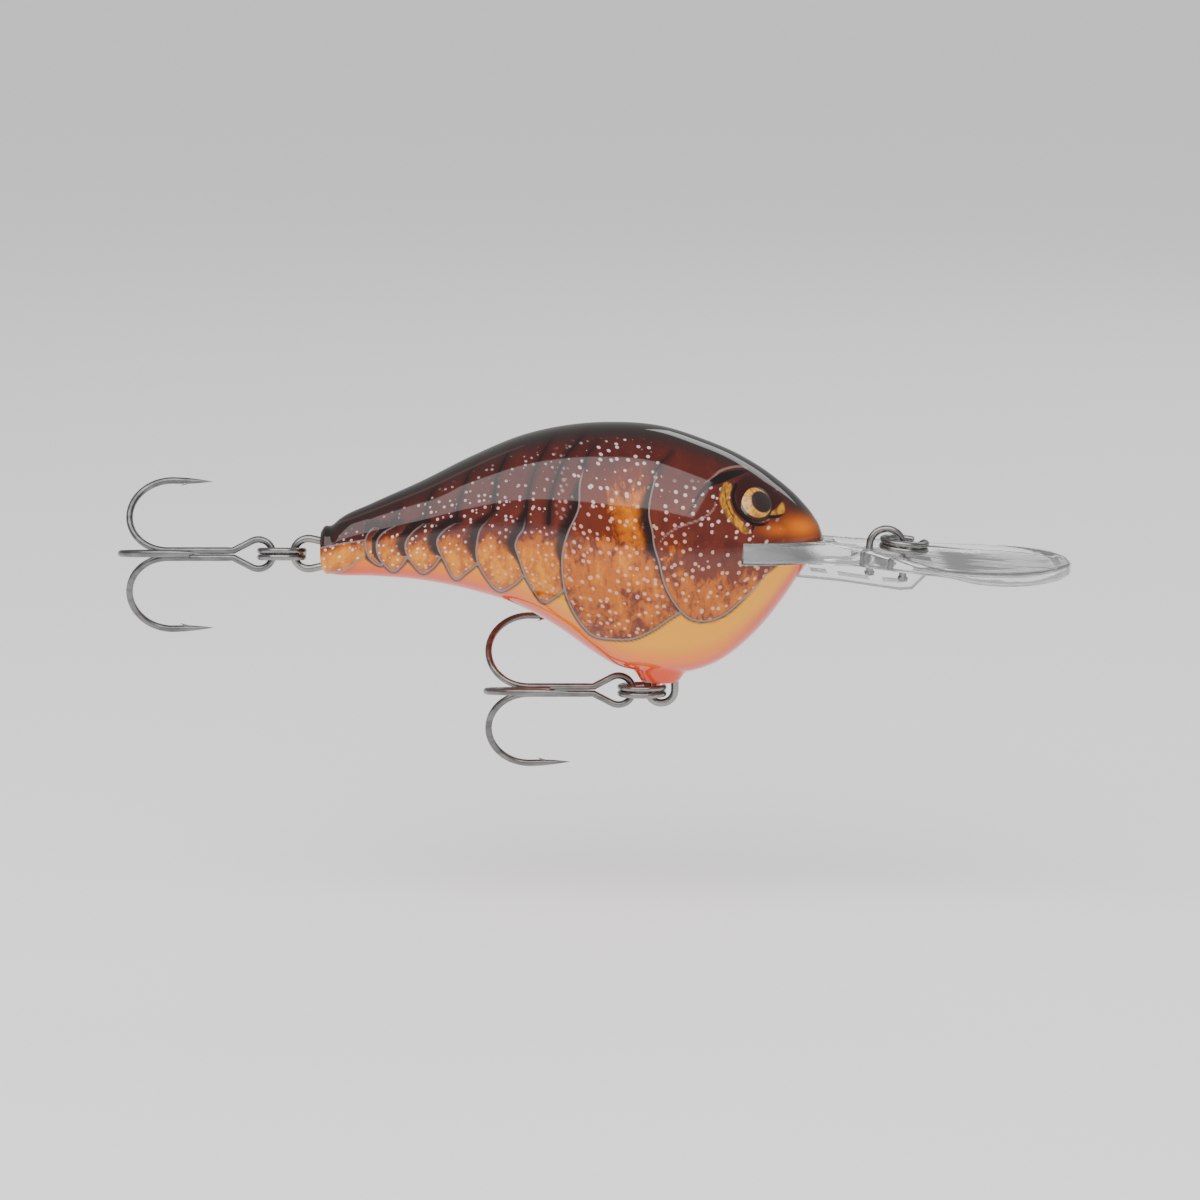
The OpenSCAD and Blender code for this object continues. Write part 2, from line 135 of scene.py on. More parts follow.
def inside(line, q):
    """True for the points of q within a closed polyline."""
    hit = np.zeros(len(q), bool)
    for (x0, y0), (x1, y1) in zip(line, np.roll(line, -1, 0)):
        cross = (y0 > q[:, 1]) != (y1 > q[:, 1])
        with np.errstate(divide="ignore", invalid="ignore"):
            hit ^= cross & (q[:, 0] < (x1 - x0) * (q[:, 1] - y0) / (y1 - y0) + x0)
    return hit


# ---------------------------------------------------------------- mesh helpers

def make(name, verts, faces, shade=True):
    mesh = bpy.data.meshes.new(name)
    mesh.from_pydata([tuple(v) for v in verts], [], faces)
    bm = bmesh.new()
    bm.from_mesh(mesh)
    bmesh.ops.recalc_face_normals(bm, faces=bm.faces)
    bm.to_mesh(mesh)
    bm.free()
    obj = bpy.data.objects.new(name, mesh)
    bpy.context.scene.collection.objects.link(obj)
    mesh.polygons.foreach_set("use_smooth", [shade] * len(mesh.polygons))
    return obj


def store(obj, name, values):
    """A number for every vertex."""
    values = np.asarray(values, np.float32)
    obj.data.attributes.new(name, "FLOAT", "POINT").data.foreach_set("value", values)


def store_vector(obj, name, values):
    """Three numbers for every vertex."""
    values = np.asarray(values).astype(np.float32)
    obj.data.attributes.new(name, "FLOAT_VECTOR", "POINT").data.foreach_set("vector", values.ravel())


def coords(obj):
    co = np.zeros(len(obj.data.vertices) * 3)
    obj.data.vertices.foreach_get("co", co)
    return co.reshape(-1, 3)


def grid_faces(rows, cols, offset=0, flip=False, wrap=False):
    faces = []
    for i in range(rows - 1):
        for j in range(cols if wrap else cols - 1):
            k = (j + 1) % cols
            f = [i * cols + j, (i + 1) * cols + j, (i + 1) * cols + k, i * cols + k]
            faces.append([offset + v for v in (f[::-1] if flip else f)])
    return faces


def tube(name, path, radii, sides=24):
    """A round wire along a path in millimetres; its frame is carried along without twist."""
    p = np.asarray(path, float)
    r = np.broadcast_to(np.asarray(radii, float), (len(p),))
    t = np.gradient(p, axis=0)
    t /= np.linalg.norm(t, axis=1)[:, None]
    u = np.cross(t[0], [0.3, 1, 0.2])
    u /= np.linalg.norm(u)
    rings = []
    for k in range(len(p)):
        u = u - t[k] * (u @ t[k])
        u /= np.linalg.norm(u)
        w = np.cross(t[k], u)
        a = np.linspace(0, 2 * math.pi, sides, endpoint=False)
        rings.append(p[k] + r[k] * (np.cos(a)[:, None] * u + np.sin(a)[:, None] * w))
    n = len(p)
    faces = grid_faces(n, sides, wrap=True, flip=True)
    faces += [list(range(sides)), list(range(n * sides - 1, (n - 1) * sides - 1, -1))]
    return make(name, place(np.concatenate(rings)), faces)


def join(objs):
    """Several meshes as one piece, named after the first."""
    with bpy.context.temp_override(active_object=objs[0], object=objs[0],
                                   selected_editable_objects=objs, selected_objects=objs):
        bpy.ops.object.join()
    return objs[0]


def cut(obj, tool, how="DIFFERENCE", materials="INDEX"):
    """A boolean, applied; the tool is used up."""
    mod = obj.modifiers.new("cut", "BOOLEAN")
    mod.operation, mod.object, mod.solver, mod.material_mode = how, tool, "EXACT", materials
    dg = bpy.context.evaluated_depsgraph_get()
    mesh = bpy.data.meshes.new_from_object(obj.evaluated_get(dg))
    obj.modifiers.clear()
    obj.data = mesh
    bpy.data.objects.remove(tool)


def prism(name, outline, half):
    """A side outline (x, z) made solid from y = -half to y = half."""
    n = len(outline)
    verts = [(x, s * half, z) for s in (-1, 1) for x, z in outline]
    faces = [list(range(n)), list(range(2 * n - 1, n - 1, -1))]
    faces += [[(i + 1) % n, i, n + i, n + (i + 1) % n] for i in range(n)]
    return make(name, place(verts), faces, shade=False)


# ---------------------------------------------------------------- shader helpers

class Nodes:
    """A small wrapper that writes a material's node graph."""

    def __init__(self, name):
        self.mat = bpy.data.materials.new(name)
        self.mat.use_nodes = True
        self.tree = self.mat.node_tree
        self.tree.nodes.clear()
        self.out = self.tree.nodes.new("ShaderNodeOutputMaterial")
        self.bsdf = self.tree.nodes.new("ShaderNodeBsdfPrincipled")
        self.link(self.bsdf.outputs[0], self.out.inputs["Surface"])

    def link(self, a, b):
        self.tree.links.new(a, b)

    def put(self, socket, value):
        if isinstance(value, bpy.types.NodeSocket):
            self.link(value, socket)
        elif np.ndim(value):
            socket.default_value = (*value, 1)
        elif value is not None:
            socket.default_value = value

    def attr(self, name, output="Fac"):
        n = self.tree.nodes.new("ShaderNodeAttribute")
        n.attribute_name = name
        return n.outputs[output]

    def math(self, op, a, b=None, c=None, clamp=False):
        n = self.tree.nodes.new("ShaderNodeMath")
        n.operation, n.use_clamp = op, clamp
        for socket, v in zip(n.inputs, (a, b, c)):
            self.put(socket, v)
        return n.outputs[0]

    def step(self, value, low, high):
        """0 below low, 1 above high, smooth between."""
        n = self.tree.nodes.new("ShaderNodeMapRange")
        n.interpolation_type = "SMOOTHSTEP"
        self.put(n.inputs["Value"], value)
        flip = low > high
        n.inputs["From Min"].default_value = min(low, high)
        n.inputs["From Max"].default_value = max(low, high)
        n.inputs["To Min"].default_value = 1.0 if flip else 0.0
        n.inputs["To Max"].default_value = 0.0 if flip else 1.0
        return n.outputs["Result"]

    def mix(self, fac, a, b):
        """Colour a, or b where fac is 1."""
        n = self.tree.nodes.new("ShaderNodeMix")
        n.data_type = "RGBA"
        self.put(n.inputs["Factor"], fac)
        self.put(n.inputs[6], a)
        self.put(n.inputs[7], b)
        return n.outputs[2]

    def place(self, scale=(1, 1, 1)):
        """Object coordinates in millimetres, stretched."""
        c = self.tree.nodes.new("ShaderNodeTexCoord")
        m = self.tree.nodes.new("ShaderNodeMapping")
        m.inputs["Scale"].default_value = [1000 * s for s in scale]
        self.link(c.outputs["Object"], m.inputs["Vector"])
        return m.outputs[0]

    def noise(self, vector, scale, detail=3.0, rough=0.55, warp=0.0):
        n = self.tree.nodes.new("ShaderNodeTexNoise")
        self.link(vector, n.inputs["Vector"])
        n.inputs["Scale"].default_value = scale
        n.inputs["Detail"].default_value = detail
        n.inputs["Roughness"].default_value = rough
        n.inputs["Distortion"].default_value = warp
        return n.outputs["Fac"]

    def dots(self, vector, scale):
        """Distance to the nearest of scattered points, and that point's random value."""
        n = self.tree.nodes.new("ShaderNodeTexVoronoi")
        n.voronoi_dimensions = "2D"
        self.link(vector, n.inputs["Vector"])
        n.inputs["Scale"].default_value = scale
        sep = self.tree.nodes.new("ShaderNodeSeparateColor")
        self.link(n.outputs["Color"], sep.inputs[0])
        return n.outputs["Distance"], sep.outputs[0]

    def bump(self, height, strength, depth):
        n = self.tree.nodes.new("ShaderNodeBump")
        n.inputs["Strength"].default_value = strength
        n.inputs["Distance"].default_value = depth
        self.link(height, n.inputs["Height"])
        self.link(n.outputs[0], self.bsdf.inputs["Normal"])

    def set(self, **values):
        for key, v in values.items():
            self.put(self.bsdf.inputs[key.replace("_", " ")], v)
        return self.mat


def metal(name, color, rough, tint=0.5, streak=(1, 1, 1)):
    """Plated wire: slightly uneven colour and gloss, with fine drawing marks."""
    m = Nodes(name)
    v = m.place(streak)
    patch = m.noise(v, 1.1, 4)
    fine = m.noise(v, 14, 2)
    base = m.mix(m.step(patch, 0.3, 0.75), color, tuple(tint * c for c in color))
    r = m.math("ADD", m.math("MULTIPLY", fine, 0.14), rough)
    m.bump(fine, 0.12, 0.00002)
    return m.set(Base_Color=base, Metallic=1.0, Roughness=r)


# ---------------------------------------------------------------- body outlines, as the CAD has them

BACK = [[0, 2.9], [0.3, 3.35], [1.2, 3.55], [2.2, 4.35], [6, 6.2], [12, 8.9], [18, 11.9], [24, 14.4],
        [30, 15.7], [34.5, 16], [40.8, 15.5], [45.6, 14], [50.4, 11.9], [54, 9.6], [57.6, 6.4], [58.9, 4.8],
        [59.7, 3.4], [60, 2.5]]
BELLY = [[0, -1.6], [0.3, -2.1], [1.2, -2.3], [6, -2.5], [12, -3], [18, -4.2], [24, -6.2], [28.8, -9],
         [32.4, -11.6], [34.8, -13.1], [37.2, -13.9], [40.6, -14.3], [45.6, -13.7], [48, -12.6],
         [50.4, -10.8], [52.8, -8.4], [55.2, -5.3], [57.6, -1.7], [58.9, 0.2], [59.7, 1.2], [60, 1.7]]
HALF = [[0, 2.4], [0.3, 2.85], [1.2, 3.1], [6, 4.2], [12, 5.9], [18, 7.6], [24, 9.1], [30, 10.1], [35, 10.5],
        [41, 10.4], [46, 9.7], [50.4, 8.4], [54, 6.8], [57, 5], [58.9, 3.5], [59.7, 2.5], [60, 1.7]]
LENGTH = 60
WALL = 1.6
CAVITY = (10.0, 47.5)
BACK_POWER, BELLY_POWER = 2.15, 1.9    # of the section's superellipse
PAD_X, PAD_Z = 40.6, -15.3             # the flat pad under the belly
PAD_R, PAD_FOOT_R, PAD_FLARE = 2.3, 3.6, 2.6 / 1.7
PAD_BLEND = 0.35                       # how softly the pad runs into the belly
PAD_TOP = -9                           # the pad's pull stops at this height


def section(x, t, k=0.0):
    """Points of the skin, k deep: t runs from -90 degrees at the belly to 90 at the back."""
    top, low = curve(BACK, x) - k, curve(BELLY, x) + k
    c, h = (top + low) / 2, (top - low) / 2
    n = 2 / np.where(t > 0, BACK_POWER, BELLY_POWER)
    s = np.sin(np.radians(t))
    y = (curve(HALF, x) - k) * np.clip(np.cos(np.radians(t)), 0, 1) ** n
    return y, c + h * np.sign(s) * np.abs(s) ** n


def flank(x, z):
    """The half width of the body at a place seen from the side."""
    top, low = curve(BACK, x), curve(BELLY, x)
    c, h = (top + low) / 2, (top - low) / 2
    n = np.where(z > c, BACK_POWER, BELLY_POWER)
    return curve(HALF, x) * np.clip(1 - (np.abs(z - c) / h) ** n, 0, 1) ** (1 / n)


TAIL_END, NOSE_START = 1.4, 57         # the sections lie closer together at both ends
STATIONS = np.concatenate([np.linspace(0, TAIL_END, 12)[:-1], np.linspace(TAIL_END, NOSE_START, 270)[:-1],
                           np.linspace(NOSE_START, LENGTH, 26)])
TURNS = np.linspace(-90, 90, 141)


def skin(k=0.0, xs=STATIONS):
    """The grid of skin points at the stations xs, k deep."""
    x, t = np.meshgrid(xs, TURNS, indexing="ij")
    y, z = section(x, t, k)
    return np.stack([x, y, z], -1)


def half_body(name, side):
    """One moulded shell: its skin, its hollow, and the flat joining face between them."""
    out = skin()
    z = out[..., 2]
    d = np.hypot(out[..., 0] - PAD_X, out[..., 1])
    pad = PAD_Z + np.maximum(d - PAD_R, 0) * PAD_FLARE
    low = z < PAD_TOP
    gap = pad - z
    soft = PAD_BLEND
    lowered = z - np.where(gap < -soft, -gap, np.where(gap < soft, (soft - gap) ** 2 / (4 * soft), 0))
    z = np.where(low, np.minimum(z, lowered), z)
    out[..., 2] = np.where(low & (d < PAD_FOOT_R), np.maximum(z, PAD_Z), z)
    # outer and inner grids; between them the joining face, whole ahead of and behind the hollow
    n, m = out.shape[:2]
    first = int(np.argmin(np.abs(STATIONS - CAVITY[0])))
    last = int(np.argmin(np.abs(STATIONS - CAVITY[1])))
    hollow = skin(WALL, STATIONS[first:last + 1])
    faces = grid_faces(n, m)
    o = lambda i, j: i * m + j
    base = n * m
    c = lambda i, j: base + (i - first) * m + j
    e = m - 1
    faces += grid_faces(last - first + 1, m, base, flip=True)
    faces += [[o(0, j) for j in range(m)], [o(n - 1, j) for j in range(m - 1, -1, -1)]]
    faces += [[c(first, j) for j in range(m - 1, -1, -1)], [c(last, j) for j in range(m)]]
    for i in range(n - 1):
        if i == first - 1:
            faces.append([o(i, 0), o(i, e), o(i + 1, e), c(i + 1, e), c(i + 1, 0), o(i + 1, 0)])
        elif i == last:
            faces.append([o(i, 0), c(i, 0), c(i, e), o(i, e), o(i + 1, e), o(i + 1, 0)])
        elif first <= i < last:
            faces.append([c(i, e), o(i, e), o(i + 1, e), c(i + 1, e)])
            faces.append([o(i, 0), c(i, 0), c(i + 1, 0), o(i + 1, 0)])
        else:
            faces.append([o(i, 0), o(i, e), o(i + 1, e), o(i + 1, 0)])
    verts = np.concatenate([out.reshape(-1, 3), hollow.reshape(-1, 3)])
    if side < 0:
        verts[:, 1] *= -1
        faces = [f[::-1] for f in faces]
    return make(name, place(verts), faces)


# ---------------------------------------------------------------- the painted pattern
# Points are (x, v) in millimetres on the flank, v being the height seen from slightly above.

CHEEK = [(40, 9.6), (39.6, 8), (39.2, 6.2), (39.1, 4.4), (39.5, 2.5), (39.7, 0.9), (40.3, -1.1), (40.8, -3.2),
         (41.5, -4.8), (42.5, -6.3), (43.8, -7.5), (45.2, -7.9), (46.8, -7.7), (48.4, -6.9), (50, -5.5),
         (51.9, -3.7), (53.7, -1.6)]
SADDLE = [(31.6, 10.6), (31, 8.3), (30.9, 5.7), (30.5, 4.4), (29.6, 2.5), (29, 0.3), (28.9, -1.8),
          (29.2, -4.2), (30.1, -6.6), (31.5, -8.7), (33, -9.8), (35.8, -10.1), (37.6, -9.9), (39.7, -8.9),
          (41.3, -7.8), (42.7, -6.9)]
# Each plate: its visible edge, then the points that close it out of sight. The front plate lies on top.
PLATES = [
    (CHEEK, [(56, 0.5), (57.5, 3), (54.5, 8), (48, 12), (42, 12.6)]),
    (SADDLE,
     [(46, -4), (46, 8), (42, 12), (39.9, 12.6), (38.1, 13.4), (36, 13.7), (34.2, 13.3), (32.6, 12.4)]),
    ([(24.7, 5.2), (24.4, 3.1), (23.7, 2), (23.4, 0.9), (23.8, -0.4), (24.5, -2.5), (25.5, -4.3),
      (26.6, -5.7), (28, -5.1), (29.3, -4.1)], [(31, 0), (31, 5), (28, 5.2)]),
    ([(20.9, 5), (20.1, 3.9), (19.3, 3), (18.9, 1.6), (18.8, -0.4), (19.6, -2.3), (21.3, -4.3), (23.2, -3.6),
      (24.3, -2.6)], [(25, 0), (25, 4.4)]),
    ([(16.3, 3.6), (15.2, 3), (14.2, 1.9), (14.2, 0.8), (14.8, -0.5), (16.1, -2.9), (17.6, -2.1),
      (18.9, -1.1)],
     [(20, 1), (20, 4.4)]),
    ([(12.5, 3.6), (11.3, 2.7), (10.4, 1.5), (10.4, 0.2), (11.2, -1.2), (12.3, -2.2), (13.6, -1.5),
      (14.4, -0.5)],
     [(15.5, 1.5), (15.5, 3.8)]),
    ([(9.1, 3.4), (7.7, 2.6), (6.9, 1.5), (7, -0.1), (7.8, -1.3), (8.8, -2), (9.9, -1.2), (10.6, -0.2)],
     [(11.5, 1.5), (11.5, 3.6)]),
    ([(6.5, 3.2), (5.7, 2.3), (5.5, 1), (5.9, -0.3), (6.7, -1.1), (7.4, -1.3)], [(8, 0), (8, 3)]),
    ([(5.6, 1.75), (2.6, 1.3), (-0.5, 0.7)], [(-0.5, -2.8), (1.4, -2.3), (3.3, -1.8), (5.4, -0.1)]),
]
FAN_EDGE = [(1.4, -2.2), (3.3, -1.7), (5.2, -0.2)]
# Behind the plates' lower edges the belly colour starts here.
BELLY_EDGE = [(0, 0.8), (5.4, 1.8), (15, 1.5), (25, 1), (30, 0), (50, -4), (53.7, -1.7), (56, 0.2), (60, 1.4)]
# Narrow painted strokes: (x, v, half width).
SEAMS = [
    [(16.3, 3.5, .16), (16.9, 6.6, .14), (18.1, 10, .1), (19.6, 12.1, .05)],
    [(20.8, 5, .18), (21.2, 8.8, .15), (22.3, 11.6, .12), (23.3, 13.8, .05)],
    [(24.5, 3.1, .2), (24.8, 6.2, .17), (25.6, 9.5, .13), (27, 12.6, .12), (28.4, 14.8, .06)],
    [(27.3, 3.6, .25), (27.7, 7.1, .17), (29.2, 11.2, .13), (30.8, 13.3, .12), (32.2, 15.4, .06)],
    [(12.5, 3.5, .14), (13.2, 6.7, .1), (14.2, 8.3, .05)],
    [(9.1, 3.3, .12), (9.6, 5.8, .05)],
    [(31.5, 10.4, .2), (31.9, 11.6, .12), (33, 13.2, .05)],
    [(39.95, 9.4, .2), (40.5, 10.6, .14), (41.8, 12, .05)],
]
STROKES = [
    [(43.4, 4.3, .06), (44.2, 5.5, .14), (45, 7, .2), (46.1, 8.1, .3), (47.3, 8.8, .5), (48.5, 9.3, .5),
     (49.6, 9.6, .35), (50.8, 9.9, .1)],
    [(49.4, 8.2, .22), (49, 6.8, .2), (49.4, 5.3, .2), (50.2, 4.4, .18), (51.3, 3.6, .2), (52.6, 3.5, .16),
     (53.4, 3.9, .05)],
    [(51.5, 3.5, .16), (51.3, 2.9, .12), (51.1, 2.3, .04)],
    [(53.1, 4.4, .14), (54.2, 4.45, .16), (55.2, 4.8, .06)],
    [(48.5, 8.3, .06), (48.1, 6.9, .05), (48.6, 5.1, .06), (49.4, 4, .05)],
]
PALE = [
    [(40.3, 1.2, .08), (41.1, 2.2, .13), (42.7, 3.2, .14), (44.5, 3.8, .14), (45.9, 4.5, .13),
     (46.7, 5.3, .11), (46.9, 6.1, .05)],
    [(45.5, 8.3, .05), (46.7, 9.1, .12), (47.5, 9.8, .13), (48.9, 10.3, .12), (50.2, 10.4, .1),
     (50.9, 10.1, .04)],
]
BACK_LINE = [(0.9, 3.4, .06), (4.5, 4.6, .1), (9.2, 6.4, .1), (12.8, 7.8, .1), (17.1, 9.8, .1),
             (19.9, 11.1, .09), (22.3, 12.1, .08), (24.4, 12.9, .04)]
EYE_PATCH = [(49.3, 7), (49.6, 8.5), (50.5, 9.3), (51.9, 9.4), (53.2, 8.6), (54.2, 7.4), (55.1, 6.5),
             (54.2, 5.6), (53.6, 4.5), (52, 3.8), (50.3, 4.2), (49.5, 5.5)]
CRESCENT = [(47.6, 7.8), (47.4, 6.4), (47.9, 4.9), (48.8, 3.7), (50.3, 2.4), (51, 2.8), (49.8, 4.1),
            (49, 5.1), (48.6, 6.6), (48.9, 8.1), (48.2, 8.5)]
TRIANGLE = [(53.3, 4.7), (54.3, 5.5), (55, 6.2), (55.1, 4.85)]


def stroke_depth(strokes, q):
    """How far inside any of the strokes each point lies, in millimetres (negative outside)."""
    best = np.full(len(q), -9.0)
    for s in strokes:
        p = spline(s, steps=6)
        d, along = distance(p[:, :2], q)
        width = np.interp(along * (len(p) - 1), np.arange(len(p)), p[:, 2])
        best = np.maximum(best, width - d)
    return best


def patch_depth(outline, q):
    """How far inside a closed outline each point lies, in millimetres (negative outside)."""
    line = spline(outline, closed=True, steps=5)
    d, _ = distance(line, q, closed=True)
    return np.where(inside(line, q), d, -d)


def blob(q, x, v, rx, rv):
    """A soft spot: 1 at (x, v), fading over rx and rv."""
    return np.exp(-(((q[:, 0] - x) / rx) ** 2 + ((q[:, 1] - v) / rv) ** 2))


def paint(obj):
    """Stores on the shell what its paint needs: distances to the pattern's edges, and soft masks."""
    co = coords(obj)
    x = (co[:, 0] - TAIL_X) / MM
    y = np.abs(co[:, 1]) / MM
    z = (co[:, 2] - BASE_Z) / MM
    v = z * math.cos(VIEW_TILT) - y * math.sin(VIEW_TILT)
    q = np.stack([x, v], 1)
    xs = np.clip(x, 0, LENGTH)
    # height of the outline seen from the side, and the length round the section
    grid = skin()
    gv = grid[..., 2] * math.cos(VIEW_TILT) - grid[..., 1] * math.sin(VIEW_TILT)
    upper = np.interp(xs, STATIONS, gv.max(1))
    lower = np.interp(xs, STATIONS, gv.min(1))
    steps = np.linalg.norm(np.diff(grid, axis=1), axis=2)
    arc = np.concatenate([np.zeros((len(grid), 1)), np.cumsum(steps, 1)], 1)
    arc -= arc[:, len(TURNS) // 2][:, None]
    top, low = curve(BACK, xs), curve(BELLY, xs)
    c, h = (top + low) / 2, (top - low) / 2
    n = np.where(z > c, BACK_POWER, BELLY_POWER)
    turn = np.sign(z - c) * np.degrees(np.arcsin(np.clip(np.abs(z - c) / h, 0, 1) ** (n / 2)))
    i = np.clip(np.searchsorted(STATIONS, xs) - 1, 0, len(STATIONS) - 2)
    f = (xs - STATIONS[i]) / (STATIONS[i + 1] - STATIONS[i])
    j = np.clip((turn + 90) / 180 * (len(TURNS) - 1), 0, len(TURNS) - 1.001)
    jl = j.astype(int)
    g = j - jl
    here = arc[i, jl] * (1 - g) + arc[i, jl + 1] * g
    ahead = arc[i + 1, jl] * (1 - g) + arc[i + 1, jl + 1] * g
    s = here * (1 - f) + ahead * f
    store_vector(obj, "flat", np.stack([x, s, np.zeros_like(x)], 1))

    # plates, front to back: each one hides what lies behind it
    covered = np.zeros(len(q), bool)
    edge = np.full(len(q), -9.0)
    best = np.full(len(q), 9.0)
    for visible, hidden in PLATES:
        line = spline(visible, steps=8)
        d, along = distance(line, q)
        within = inside(np.concatenate([line, np.array(hidden, float)]), q)
        near = (d < best) & ~covered
        best[near] = d[near]
        edge[near] = np.where(within, d, -d)[near]
        covered |= within
    on_plate = covered
    fan, _ = distance(spline(FAN_EDGE), q)
    near = (fan < best) & ~covered | (x < 5.4) & (fan < best)
    best[near] = fan[near]
    above = v > np.interp(x, *np.array(FAN_EDGE).T)
    edge[near] = np.where(above, fan, -fan)[near]
    # the light edge fades where a plate runs into the back or the cheek
    fade = smooth((10.2 - v) / 1.5) * smooth((54.4 - x) / 3)
    fade *= np.where((x < 28) & (v > 1.5), smooth((4.6 - v) / 2.4) * 0.8, 1)
    # black hollows outside the plates' upper left corners
    under_back = np.where(x < 29, smooth((5.4 - v) / 1.6), smooth((9.5 - v) / 4))
    wide = 0.4 + 1.25 * smooth((v + 1.4) / 2.6) * under_back
    gap = np.where(edge < 0, smooth((1 + edge / wide) * 1.7), smooth(1 - edge / 0.3))
    gap *= smooth((9.8 - v) / 2) * smooth((52.5 - x) / 3) * np.where(q[:, 0] < 5.4, 0.25, 1)
    middle = np.interp(x, *np.array(BELLY_EDGE).T)
    belly = np.where(on_plate, 0, smooth((middle - v) / 0.5))
    store(obj, "edge", np.clip(edge, -9, 9))
    store(obj, "fade", fade)
    store(obj, "gap", gap)
    store(obj, "belly", belly)
    store(obj, "from_back", upper - v)
    store(obj, "from_keel", v - lower)
    store(obj, "along", x)
    # gold against red-brown
    small = 0.75 * smooth((2.9 - v) / 3.2) + 0.25 * smooth((edge - 0.3) / 1.2) * smooth((3.4 - v) / 1.2)
    saddle = (0.1 + 0.42 * smooth((3.2 - v) / 4.5)
              + 0.66 * blob(q, 37, 4.6, 2.3, 4.2) + 0.2 * blob(q, 33.5, -2.5, 2.6, 2.6)
              - 0.16 * smooth((2 - edge) / 1.6) * (v < -4) - 0.1 * smooth((v - 8) / 3))
    cheek = (0.06 + 0.5 * smooth((0.3 - v) / 5.5)
             - 0.15 * blob(q, 47.5, 1, 4, 2.4) + 0.25 * blob(q, 42, 0.3, 1.4, 1.6))
    on_cheek = np.where(x > 28.8, smooth((x - 38.6) / 1.4), 0)
    warm = np.where(x < 29.5, small, saddle * (1 - on_cheek) + cheek * on_cheek)
    warm = np.where(on_plate, warm, 0)
    nose = np.maximum(blob(q, 57.3, 3.3, 2.3, 1.25), 0.6 * blob(q, 54.6, 2.9, 2.2, 0.8))
    store(obj, "warm", np.clip(warm, 0, 1))
    store(obj, "nose", nose)
    # dots: where they are, and how fine
    room = np.where(v > middle, 1.0, 0.0) * smooth((upper - v - 1.9) / 1.2)
    room = np.maximum(room, on_plate * 1.0) * smooth((55.5 - x) / 4)
    room *= 1 - smooth(patch_depth(EYE_PATCH, q) / 0.4 + 1)
    room *= np.where(x > 40.5, smooth((9.2 - v) / 2), 1)
    room = np.where(x < 30, room * (0.55 + 0.45 * smooth((9 - v) / 6)), room)
    store(obj, "room", np.clip(room, 0, 1))
    store(obj, "fine", smooth((30.5 - x) / 3))
    store(obj, "seam", stroke_depth(SEAMS, q))
    store(obj, "black", stroke_depth(STROKES, q))
    store(obj, "pale", stroke_depth(PALE, q))
    store(obj, "back_line", stroke_depth([BACK_LINE], q))
    store(obj, "patch", patch_depth(EYE_PATCH, q))
    store(obj, "gold", np.maximum(patch_depth(CRESCENT, q), patch_depth(TRIANGLE, q)))


def dot_layer(m, vector, scale, least, most, radius, offset):
    """Scattered dots; those whose random value is below least shrink away."""
    away, chance = m.dots(vector, scale)
    size = m.math("MULTIPLY_ADD", m.step(chance, least, most), radius, offset)
    return m.step(m.math("SUBTRACT", away, size), 0.05, -0.02)


